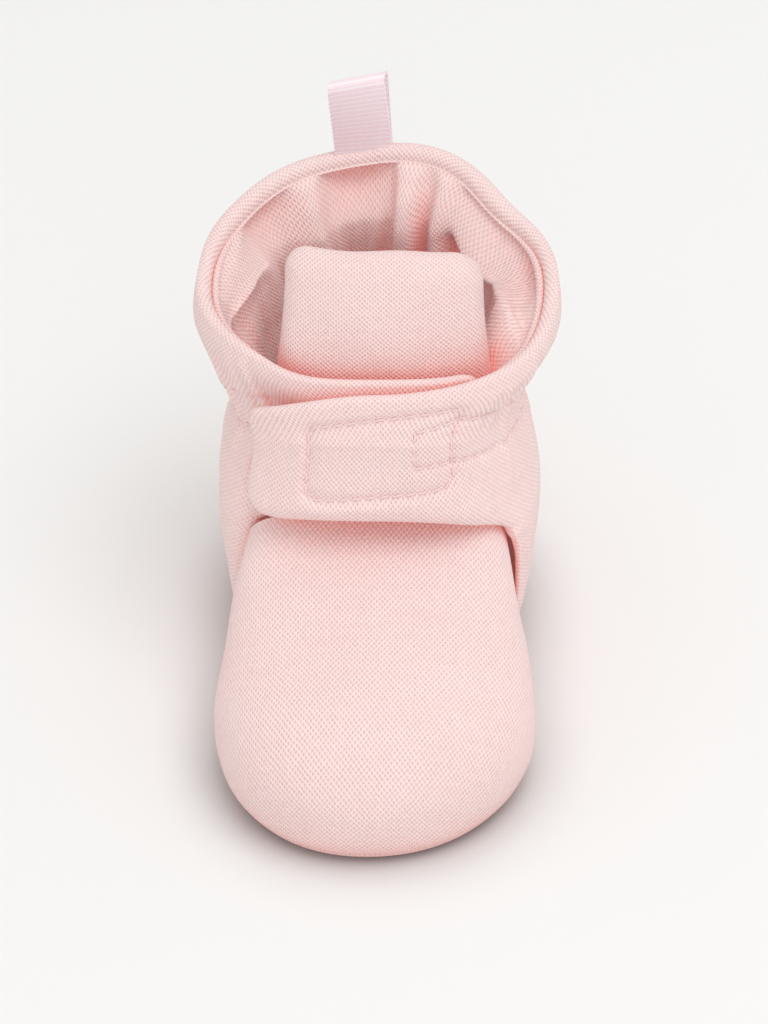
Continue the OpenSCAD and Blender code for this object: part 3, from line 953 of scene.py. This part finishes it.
def toe_outside(x, y, z, out):
    """Above 1 outside the toe panel, below 1 inside it."""
    up = z >= TOE_MID
    under = np.clip((TOE_MID - z) / (TOE_MID - 1.5), 0, 1)
    out = np.where(up, out, out - TOE_UNDER * (1 - np.sqrt(1 - under**2)))
    w = toe_width(y, out)
    h = (curve(y / L, TOE_H) - TOE_MID + out) * quarter((y + TOE_TIP + out) / TOE_ROUND_H)
    p = curve(y / L, SQUARE_TOP)
    hx = np.abs(x - toe_x0(y)) / np.maximum(w, 1e-6)
    hz = np.where(up, (z - TOE_MID) / np.maximum(h, 1e-6), 0)
    val = hx ** (2 / p) + hz ** (2 / p)
    return np.where((y <= -TOE_TIP - out) | (z < 1.4), 9.0, val)


def cast(origin_y, origin_z, dx, dy, dz, y_of=None, out=0.0):
    """Distance along each ray at which it leaves the toe panel."""
    lo = np.zeros(np.broadcast(dx, dy, dz).shape)
    hi = lo + 90.0
    for _ in range(34):
        r = (lo + hi) / 2
        x, z = r * dx, origin_z + r * dz
        y = origin_y + r * dy if y_of is None else y_of(z)
        outside = toe_outside(x + toe_x0(y), y, z, out) > 1
        hi = np.where(outside, r, hi)
        lo = np.where(outside, lo, r)
    return (lo + hi) / 2


def toe_grid(out=0.0, n_lat=150, n_front=N_TOE_FRONT, n_rear=80):
    """Rows of points from the toe's front seam up to the instep, each running across."""
    lam = np.radians(np.linspace(-90, 90, n_lat))
    lam = lam * 0.985 + 0.015 * np.sin(2 * lam)
    rows = []
    for psi in np.radians(np.linspace(0, 90, n_front)):
        dx, dy, dz = np.sin(lam), -np.cos(lam) * math.cos(psi), np.cos(lam) * math.sin(psi)
        r = cast(TOE_C, TOE_SEAM, dx, dy, dz, None, out)
        y = TOE_C + r * dy
        rows.append(np.stack([r * dx + toe_x0(y), y, TOE_SEAM + r * dz], -1))
    for k in np.linspace(0, 1, n_rear)[1:]:
        def y_of(z, k=k):
            end = 8.5 - 9.5 * ease((z - 22) / 22)
            return TOE_C + (end - TOE_C) * k
        dx, dz = np.sin(lam), np.cos(lam)
        r = cast(TOE_C, TOE_SEAM, dx, 0 * dx, dz, y_of, out)
        z = TOE_SEAM + r * dz
        y = y_of(z)
        rows.append(np.stack([r * dx + toe_x0(y), y, z], -1))
    return np.array(rows)


TOE_STRETCH = 0.87          # the toe's cloth is drawn out lengthways, the tongue's is slack
TONGUE_STRETCH = 1.22


def metric_uv(points):
    """Cloth map whose threads keep their spacing, both across from the middle and between rows."""
    n, m = points.shape[:2]
    u = steps(points, 1)
    u = u - u[:, m // 2][:, None]
    reach = np.linspace(-70, 70, 281)
    at = np.array([[np.interp(reach, u[i], points[i, :, k]) for k in range(3)] for i in range(n)])
    at = np.moveaxis(at, 1, 2)
    v = -steps(at[::-1], 0)[::-1]
    uv = np.zeros((n, m, 2))
    uv[..., 0] = u
    for i in range(n):
        uv[i, :, 1] = np.interp(u[i], reach, v[i]) * TOE_STRETCH
    return uv


def normals_of(points):
    du = np.gradient(points, axis=1)
    dv = np.gradient(points, axis=0)
    nrm = np.cross(du, dv)
    return nrm / np.maximum(np.linalg.norm(nrm, axis=-1, keepdims=True), 1e-9)


toe = toe_grid()
nrm = normals_of(toe)
nrm *= np.sign(nrm[len(nrm) // 2, nrm.shape[1] // 2, 2])
bumps = 0.28 * ripple(toe[..., 0], toe[..., 1], toe[..., 2], 26, 5) * ease((toe[..., 2] - SEAM_Z) / 6)
toe_shape = toe + nrm * bumps[..., None]
toe_obj = build("toe_panel_cloth", Sheet().add(toe_shape, metric_uv(toe_shape)), mat_outer)

inner_toe = toe_grid(-TOE_CLOTH, 90, 50, 46)
toe_in_obj = build("toe_panel_inside", Sheet().add(inner_toe, metric_uv(inner_toe), flip=True), mat_lining)

# ---------------------------------------------------------------- tongue

TONGUE_X = 1.2
TONGUE_HALF = 21.6
TONGUE_TOP = 90.4
TONGUE_FOOT = 37.0
TONGUE_T = 6.2


def tongue_y(z):
    return curve(z, [[34, -2.2], [48, 2.2], [60, 5.0], [76, 9.2], [96, 16.8]])


def tongue_grids(n=96, m=120):
    """Front and back of the padded tongue, which meet along its edge."""
    qx = np.linspace(-1, 1, n)
    qx = np.sin(qx * math.pi / 2)
    qz = np.linspace(0, 1, m)
    qz = 1 - (1 - qz) ** 1.7
    X = TONGUE_HALF * qx[:, None] * (1 + 0 * qz[None, :])
    X = X * (1 - 0.13 * ease((qz[None, :] - 0.35) / 0.65)) * (1 - 0.10 * (1 - ease(qz[None, :] / 0.3)))
    half = np.abs(X).max(0)[None, :]
    d_side = half - np.abs(X)
    right = X > 0
    r = np.where(right, 6.5, 4.8)
    top = TONGUE_TOP - 1.0 * right * ease(X / TONGUE_HALF) + 0.18 * np.sin(X * 0.32 + 0.8)
    top = top - r * (1 - quarter(d_side / r))
    Z = TONGUE_FOOT + (top - TONGUE_FOOT) * qz[None, :]
    d_top = top - Z
    edge = np.minimum(d_side, d_top)
    full = quarter(edge / 4.2) ** 0.9
    th = TONGUE_T * (0.62 + 0.38 * ease((Z - 55) / 20))
    puff = 0.5 * bell(X / 14) * bell((Z - 82) / 10)
    bow = 0.0075 * X * X
    y_mid = tongue_y(Z) + bow + 2.8
    front = np.stack([X + TONGUE_X, y_mid - th / 2 * full - puff + 0.2 * ripple(X, 0 * X, Z, 15, 8), Z], -1)
    back = np.stack([X + TONGUE_X, y_mid + th / 2 * full, Z], -1)
    # a shallow line where the two cloths are sewn together
    seam = bell(full / 0.12)
    front[..., 1] += 0.25 * seam
    return front, back


t_front, t_back = tongue_grids()


def grid_uv(points):
    u = steps(points, 0)
    u = u - u[points.shape[0] // 2][None, :]
    return np.stack([u, steps(points, 1)], -1)


stretch = np.array([1, TONGUE_STRETCH])
tongue_sheets = [
    Sheet().add(t_front, grid_uv(t_front) * stretch),
    Sheet().add(t_back, grid_uv(t_back) * stretch, flip=True),
]
tongue_normals = smooth_normals(tongue_sheets)
tongue_front = build("tongue_cloth", tongue_sheets[0], mat_outer, tongue_normals[0])
tongue_back = build("tongue_inside", tongue_sheets[1], mat_lining, tongue_normals[1])

# ---------------------------------------------------------------- sole

seam_front = toe_shape[0]                                   # round the toe, from -X to +X
rear_left = toe_shape[N_TOE_FRONT - 1:, 0]                               # back along -X
rear_right = toe_shape[N_TOE_FRONT - 1:, -1]
heel_seam = low_outer[:, 0]                                 # from +X round the back to -X
front_loop = np.concatenate([rear_left[::-1], seam_front[1:-1], rear_right])
cut = heel_seam[0, 1]
front_loop = front_loop[front_loop[:, 1] < cut - 1.0]
loop = np.concatenate([front_loop, heel_seam])


def resample(points, n):
    closed = np.concatenate([points, points[:1]])
    d = np.concatenate([[0], np.cumsum(np.linalg.norm(np.diff(closed, axis=0), axis=1))])
    t = np.linspace(0, d[-1], n + 1)[:-1]
    return np.stack([np.interp(t, d, closed[:, k]) for k in range(3)], 1)


loop = resample(loop, 260)
for _ in range(6):
    loop = (loop + np.roll(loop, 1, 0) + np.roll(loop, -1, 0)) / 3


def pad_grid(outline, inset, levels):
    """Rings inwards; levels are (share of the way out, height, how far it follows the outline's)."""
    centre = np.stack([toe_x0(outline[:, 1]) * 0.6, np.clip(outline[:, 1], -30, 28), 0 * outline[:, 0]], 1)
    rings = []
    for share, z, follow in levels:
        p = centre + (outline - centre) * (1 - inset) * share
        p[:, 2] = z + (outline[:, 2] - TOE_SEAM) * follow
        rings.append(p)
    g = np.array(rings)
    return np.concatenate([g, g[:, :1]], 1)


# the sole's edge turns up inside the uppers' seam
edge_profile = [(0.965, 3.2, 1), (0.99, 2.5, 1), (1.0, 1.95, 0.8), (0.997, 1.5, 0.5), (0.985, 1.1, 0.2)]
edge_profile += [(0.965, 0.83, 0), (0.94, 0.65, 0), (0.91, 0.53, 0)]
N_EDGE = len(edge_profile)
edge_profile += [(0.91 * k, 0.5, 0) for k in np.linspace(0.97, 0.0, 40)]
sole = pad_grid(loop, 0.0, edge_profile)
reach = steps(sole, 0)
outward = sole[0, :, :2] - sole[N_EDGE, :, :2]
outward /= np.linalg.norm(outward, axis=1, keepdims=True)
sole_uv = sole[..., :2].copy()
for k in range(N_EDGE):
    sole_uv[k] = sole[N_EDGE, :, :2] + outward * (reach[N_EDGE] - reach[k])[:, None]
sole_obj = build("sole_cloth", Sheet().add(sole, sole_uv, flip=True), mat_outer)

inside_profile = [(1.0, 11.0, 0), (0.985, 8.5, 0), (0.95, 7.2, 0), (0.9, 6.8, 0)]
inside_profile += [(0.9 * k, 6.6, 0) for k in np.linspace(0.95, 0.0, 20)]
insole = pad_grid(loop, 0.12, inside_profile)
insole_obj = build("insole_cloth", Sheet().add(insole, insole[..., :2]), mat_lining)


def dot_field():
    """Grip dots in staggered rows, as low domes."""
    sheet = Sheet()
    pitch, r = 9.0, 1.7
    half = 0.94 * L

    def sole_half(y):
        base = np.interp(y / L, [-0.5, 0, 0.45], [0.86, 0.7, 0.78]) * W
        return base * quarter((y + half) / 27) * quarter((0.875 * L - y) / 24)

    turn = np.linspace(0, 2 * math.pi, 25)
    # share of the radius and height, from the cloth down to the crown
    profile = [(1.0, 0.62), (1.0, 0.3), (0.93, 0.1), (0.8, 0.02), (0.5, 0.0), (0.0, 0.0)]
    for row in range(-5, 6):
        for col in range(-3, 4):
            x, y = (col + (abs(row) % 2) / 2) * pitch, row * pitch
            if abs(y) < 0.9 * L and abs(x) < sole_half(y) - 5:
                g = np.array([
                    [(x + r * k * math.cos(a), y - r * k * math.sin(a), z) for a in turn] for k, z in profile
                ])
                sheet.add(g, g[..., :2])
    return sheet


dots = build("grip_dot_field", dot_field(), mat_rubber)

# ---------------------------------------------------------------- stitches

def surface_at(grid, s_cols, z_at):
    """Gives a function that finds the point and normal of a wrap grid near (s, z)."""
    order = np.argsort(s_cols)
    cols_sorted = s_cols[order]
    g = grid[order]

    def find(s, z):
        i = int(np.clip(np.searchsorted(cols_sorted, s) - 1, 0, len(cols_sorted) - 2))
        t = (s - cols_sorted[i]) / max(cols_sorted[i + 1] - cols_sorted[i], 1e-9)

        def on(col, height):
            return np.array([np.interp(height, col[:z_at, 2], col[:z_at, k]) for k in range(3)])

        here, beside = on(g[i], z), on(g[i + 1], z)
        p = here * (1 - t) + beside * t
        up = here - on(g[i], z - 0.6)
        across = beside - here
        n = np.cross(across, up)
        return p, n / max(np.linalg.norm(n), 1e-9)

    return find


def thread_sheet(sheet, find, path, pitch=2.75, share=0.78, radius=0.2, lean=0.16, lift=-0.06, start=0.0):
    """Row of stitches along an (s, z) path: each a short soft strand whose ends sink into the cloth."""
    d = np.concatenate([[0], np.cumsum(np.linalg.norm(np.diff(path, axis=0), axis=1))])
    count = max(1, int(round((d[-1] - start) / pitch)))
    pitch = (d[-1] - start) / count
    for k in range(count):
        a, b = start + k * pitch, start + (k + share) * pitch
        t = np.linspace(a, b, 9)
        s, z = np.interp(t, d, path[:, 0]), np.interp(t, d, path[:, 1])
        ds, dz = s[-1] - s[0], z[-1] - z[0]
        length = max(math.hypot(ds, dz), 1e-6)
        at = np.linspace(-1, 1, 9)
        s, z = s - lean * at * dz / length, z + lean * at * ds / length
        line, normal = zip(*[find(si, zi) for si, zi in zip(s, z)])
        line, normal = np.array(line), np.array(normal)
        rise = lift + 0.24 * (1 - at ** 4) - 0.30 * at ** 6
        line = line + normal * rise[:, None]
        tan = np.gradient(line, axis=0)
        tan /= np.linalg.norm(tan, axis=1, keepdims=True)
        side = np.cross(tan, normal)
        side /= np.linalg.norm(side, axis=1, keepdims=True)
        up = np.cross(side, tan)
        thin = radius * np.sqrt(np.maximum(0.04, 1 - at ** 8))
        th = np.linspace(0, 2 * math.pi, 9)
        tube = line[:, None] + thin[:, None, None] * (
            np.cos(th)[None, :, None] * side[:, None] + np.sin(th)[None, :, None] * up[:, None]
        )
        uv = np.stack(np.broadcast_arrays(th[None, :] * radius, (t - t[0])[:, None] + 3.1 * k), -1)
        sheet.add(tube, uv)
    return sheet


find_strap = surface_at(strap_outer, s_strap, N_UP)
box_threads = thread_sheet(Sheet(), find_strap, BOX_PATH, 2.7)
hook_threads = build("hook_patch_threads", box_threads, mat_thread)

strap_rows = Sheet()
for sign in (1, -1):
    thread_sheet(strap_rows, find_strap, row_path(sign, BOX_END_S, JOIN - 0.6), 2.75)
thread_sheet(strap_rows, find_strap, END_PATH, 2.6)
strap_row_obj = build("strap_elastic_threads", strap_rows, mat_thread)

find_heel = surface_at(heel_outer, cols, N_LOW - 1 + N_UP)
heel_rows = Sheet()
for sign in (1, -1):
    s_line = np.linspace(JOIN + 0.4, 2 * HALF_ROUND - along(60), 500)
    path = np.stack([s_line, ankle_z(angle_of(wrapped(s_line))) + sign * ROW_HALF], 1)
    thread_sheet(heel_rows, find_heel, path, 2.75)
heel_row_obj = build("ankle_threads", heel_rows, mat_thread)

# ---------------------------------------------------------------- patches and their stitches

def patch_grid(find, s0, s1, z_mid, half_z, tilt, thick, outward, r=2.2, n=70, m=44):
    """Rounded tape patch lying on a surface; outward is 1 on the outer side and -1 on the inner."""
    across_q = np.sin(np.linspace(-1, 1, n) * math.pi / 2)
    up_q = np.sin(np.linspace(-1, 1, m) * math.pi / 2)
    s_c, h_s = (s0 + s1) / 2, (s1 - s0) / 2
    top = np.zeros((n, m, 3))
    for i, a in enumerate(across_q):
        ds = h_s * a
        corner = r * (1 - float(quarter((h_s - abs(ds)) / r)))
        for j, b in enumerate(up_q):
            dz = (half_z - corner) * b
            p, nn = find(s_c + ds, z_mid + dz + tilt * ds)
            edge = min(h_s - abs(ds), (half_z - corner) - abs(dz))
            top[i, j] = p + nn * outward * (0.05 + thick * float(quarter(edge / 0.5)))
    return top


find_flap = surface_at(flap_outer, s_flap[::-1], N_UP)
loop_top = patch_grid(find_flap, -15.5, 12.5, 58.6, 7.6, 0.09, 0.7, 1)
loop_obj = build("loop_patch_tape", Sheet().add(loop_top, grid_uv(loop_top)), mat_loop)

flap_threads = thread_sheet(
    Sheet(),
    find_flap,
    box_path(dict(s=-1.5, z=58.6, half_s=13.0, half_z=6.7, r=2.0, tilt=0.09, grow=0)),
    2.7,
    lift=0.75,
)
flap_thread_obj = build("loop_patch_threads", flap_threads, mat_thread)


def inner_finder(lining, s_cols, first):
    inner = lining[:, first:][:, ::-1]
    return surface_at(inner, s_cols, inner.shape[1])


find_strap_in = inner_finder(strap_lin, s_strap, N_ROLL_IN + 1)
hook_top = patch_grid(find_strap_in, -15.7, 17.1, 59.1, 8.0, 0.115, 0.7, -1)
hook_obj = build("hook_patch_tape", Sheet().add(hook_top, grid_uv(hook_top), flip=True), mat_hook)

# ---------------------------------------------------------------- pull loop

LOOP_X, LOOP_Y, LOOP_BASE, RIBBON_W, LOOP_TOP = -2.6, L - 1.9, 86.8, 11.4, 104.8


def ribbon():
    """Ribbon folded in half over a soft eye, with ribs across it and scalloped selvedges."""
    h = LOOP_TOP - LOOP_BASE
    k = np.linspace(0, 1, 260)
    up = np.clip(k / 0.47, 0, 1)
    down = np.clip((k - 0.53) / 0.47, 0, 1)
    turn = np.clip((k - 0.47) / 0.06, 0, 1)
    r = 1.35
    round_top = h - r + r * np.sin(turn * math.pi)
    z = np.where(k < 0.47, up * (h - r), np.where(k > 0.53, (1 - down) * (h - r), round_top))
    gap = 0.55 + (r - 0.55) * ease((z - 2) / (h - 3))
    y = np.where(k < 0.47, -gap, np.where(k > 0.53, gap, -r * np.cos(turn * math.pi)))
    line = np.stack([0 * y, y, z], 1)
    d = np.concatenate([[0], np.cumsum(np.linalg.norm(np.diff(line, axis=0), axis=1))])
    tan = np.gradient(line, axis=0)
    tan /= np.linalg.norm(tan, axis=1, keepdims=True)
    out = np.stack([0 * y, -tan[:, 2], tan[:, 1]], 1)
    w = np.linspace(-1, 1, 31)
    w = np.sign(w) * np.abs(w) ** 0.8
    rib = 0.5 + 0.5 * np.cos(d * 2 * math.pi / RIB_PITCH)
    faces = []
    for side in (1, -1):
        x = w[None, :] * (RIBBON_W / 2 - 0.16 * (1 - rib[:, None]) * (np.abs(w)[None, :] > 0.97))
        ridge = 0.09 * rib[:, None] * (np.abs(w)[None, :] < 0.93)
        edge_up = 0.06 * (np.abs(w)[None, :] > 0.9)
        g = line[:, None] + out[:, None] * (side * (0.26 + ridge + edge_up))[..., None]
        g = g + np.stack([x, 0 * x, 0 * x], -1)
        faces.append((g, np.stack(np.broadcast_arrays(w[None, :] * RIBBON_W / 2, d[:, None]), -1)))
    return faces


def lean(g):
    """The ribbon stands a little off upright, its free end towards -X, and bows back."""
    z = g[..., 2]
    at = z / (LOOP_TOP - LOOP_BASE)
    turn = np.radians(4 + 14 * at)
    x = g[..., 0] * np.cos(turn) + g[..., 1] * np.sin(turn) - 1.3 * at
    y = g[..., 1] * np.cos(turn) + g[..., 0] * np.sin(turn) + 0.6 * at * at
    return np.stack([x + LOOP_X, y + LOOP_Y - 1.1, z + LOOP_BASE], -1)


sheet_ribbon = Sheet()
(face_a, uv_a), (face_b, uv_b) = ribbon()
face_a, face_b = lean(face_a), lean(face_b)
sheet_ribbon.add(face_a, uv_a)
sheet_ribbon.add(face_b, uv_b, flip=True)
for col in (0, -1):
    strip = np.stack([face_a[:, col], face_b[:, col]], 1)
    uv_strip = np.stack([uv_a[:, col], uv_a[:, col] + [0.4, 0]], 1)
    sheet_ribbon.add(strip, uv_strip, flip=(col == 0))
ribbon_obj = build("pull_loop_ribbon", sheet_ribbon, mat_ribbon)

# ---------------------------------------------------------------- pieces fixed to the shoe, CAD parts hidden

def place(obj, slot_name, nodes, body=None, start=None, end=None):
    """Fixes a piece to the shoe, or, given a body, only bakes its placement into its mesh; hides the CAD
    parts it stands for. start and end are not used.
    """
    if body:
        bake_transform(obj)
        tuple(start)
        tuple(end)
    else:
        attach(obj, "shoe")
    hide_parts(*nodes)


place(wrap["heel_panel_cloth"], "outer_knit", ["heel_panel", "ankle_elastic"])
place(wrap["heel_panel_inside"], "lining_knit", ["heel_panel_lining"])

strap_pieces = (
    (wrap["strap_cloth"], "outer_knit", ["strap", "strap_elastic_end"]),
    (wrap["strap_inside"], "lining_knit", ["strap_lining"]),
    (hook_obj, "hook_tape", ["hook_patch"]),
    (hook_threads, "thread", ["hook_patch_stitching"]),
    (strap_row_obj, "thread", ["strap_elastic_stitching"]),
)
flap_pieces = (
    (wrap["under_flap_cloth"], "outer_knit", ["under_flap"]),
    (wrap["under_flap_inside"], "lining_knit", ["under_flap_lining"]),
    (loop_obj, "loop_tape", ["loop_patch"]),
    (flap_thread_obj, "thread", ["loop_patch_stitching"]),
)
# two points on the stretch of the wall in front of the strap's and the flap's joins
fold_start = wall(np.array([JOIN - 0.8]), np.array([58.0]))[0]
fold_end = wall(np.array([JOIN - 15]), np.array([60.0]))[0]
for side, body, pieces in ((1, "strap", strap_pieces), (-1, "under_flap", flap_pieces)):
    flat = np.array([side, 1, 0])
    ends = [tuple(p * flat * MM) for p in (fold_start, fold_end)]
    for piece in pieces:
        place(*piece, body, *ends)

place(toe_obj, "outer_knit", ["toe_panel"])
place(toe_in_obj, "lining_knit", ["toe_panel_lining"])
tongue_fold = ("tongue", (0, 0, 70 * MM), (0, 0, 80 * MM))
place(tongue_front, "outer_knit", ["tongue_face", "tongue_root"], *tongue_fold)
place(tongue_back, "lining_knit", ["tongue_lining", "tongue_wadding"], *tongue_fold)
place(sole_obj, "outer_knit", ["sole_outer", "sole_foam"])
place(insole_obj, "lining_knit", ["insole_lining"])
place(dots, "grip_rubber", ["grip_dots"])
place(heel_row_obj, "thread", ["ankle_stitching"])
# two points just above the seam that holds the ribbon
ribbon_fold = ("pull_loop", (0, 0, 87.5 * MM), (0, 0, 91.5 * MM))
place(ribbon_obj, "ribbon", ["pull_loop", "pull_loop_tail"], *ribbon_fold)

# ---------------------------------------------------------------- stage, light and camera

def paper_material():
    """Pale paper, darkened where the bootie shades it closely, to deepen the contact shadow."""
    m, nt, bsdf = new_material("studio_paper")
    n = Nodes(nt)
    shade = n.mix(n.ramp(n.open_to_light(8, 0.02), 0.15, 0.9), (0.42, 0.44, 0.44, 1), (0.90, 0.90, 0.895, 1))
    nt.links.new(shade, bsdf.inputs["Base Color"])
    set_inputs(bsdf, {"Roughness": 0.9, "Specular IOR Level": 0.1})
    return m


def backdrop():
    """Pale floor that sweeps up behind the object."""
    y = [-2.5] + [0.9 + 1.2 * math.sin(t) for t in np.linspace(0, math.pi / 2, 16)] + [2.1]
    z = [0.0] + [1.2 - 1.2 * math.cos(t) for t in np.linspace(0, math.pi / 2, 16)] + [4.0]
    z = [v - 0.0001 for v in z]     # just clear of the sole
    verts, faces = [], []
    for a, b in zip(y, z):
        verts += [(-3.5, a, b), (3.5, a, b)]
    for k in range(len(y) - 1):
        faces.append((2 * k, 2 * k + 1, 2 * k + 3, 2 * k + 2))
    mesh = bpy.data.meshes.new("studio_floor")
    mesh.from_pydata(verts, [], faces)
    mesh.polygons.foreach_set("use_smooth", np.ones(len(mesh.polygons), bool))
    mesh.materials.append(paper_material())
    obj = bpy.data.objects.new("studio_floor", mesh)
    bpy.context.scene.collection.objects.link(obj)
    return obj


backdrop()


def area(name, spot, aim, size, power):
    """Round lamp at a spot, in metres, turned towards aim."""
    data = bpy.data.lights.new(name, "AREA")
    data.shape = "DISK"
    data.size = size
    data.energy = power
    obj = bpy.data.objects.new(name, data)
    bpy.context.scene.collection.objects.link(obj)
    obj.location = spot
    obj.rotation_euler = (Vector(aim) - Vector(spot)).to_track_quat("-Z", "Y").to_euler()


area("key", (0.30, -0.25, 1.20), (0, 0, 0.05), 0.8, 4.0)
area("front", (0.2, -1.5, 0.8), (0, 0, 0.05), 1.2, 1.6)

world = bpy.data.worlds.new("studio")
world.use_nodes = True
world.node_tree.nodes["Background"].inputs[0].default_value = (1.0, 0.995, 0.985, 1)
world.node_tree.nodes["Background"].inputs[1].default_value = 0.82
scene = bpy.context.scene
scene.world = world
scene.view_settings.view_transform = "Standard"
scene.view_settings.look = "None"
scene.view_settings.exposure = 0.0
scene.cycles.max_bounces = 12
scene.cycles.diffuse_bounces = 8

cam_data = bpy.data.cameras.new("camera")
cam = bpy.data.objects.new("camera", cam_data)
scene.collection.objects.link(cam)
cam_data.sensor_fit = "VERTICAL"
SENSOR, FIELD = 24.0, 0.197     # sensor height in mm, and height in metres that the picture takes in
ELEVATION, DISTANCE = 40.0, 0.80
cam_data.sensor_height = SENSOR
target = np.array([1.15, 0.0, 41.6]) * MM
e = math.radians(ELEVATION)
cam.location = (target[0], target[1] - DISTANCE * math.cos(e), target[2] + DISTANCE * math.sin(e))
cam.rotation_euler = (math.radians(90 - ELEVATION), 0, 0)
cam_data.lens = SENSOR * DISTANCE / FIELD
cam_data.clip_start = 0.01
scene.camera = cam
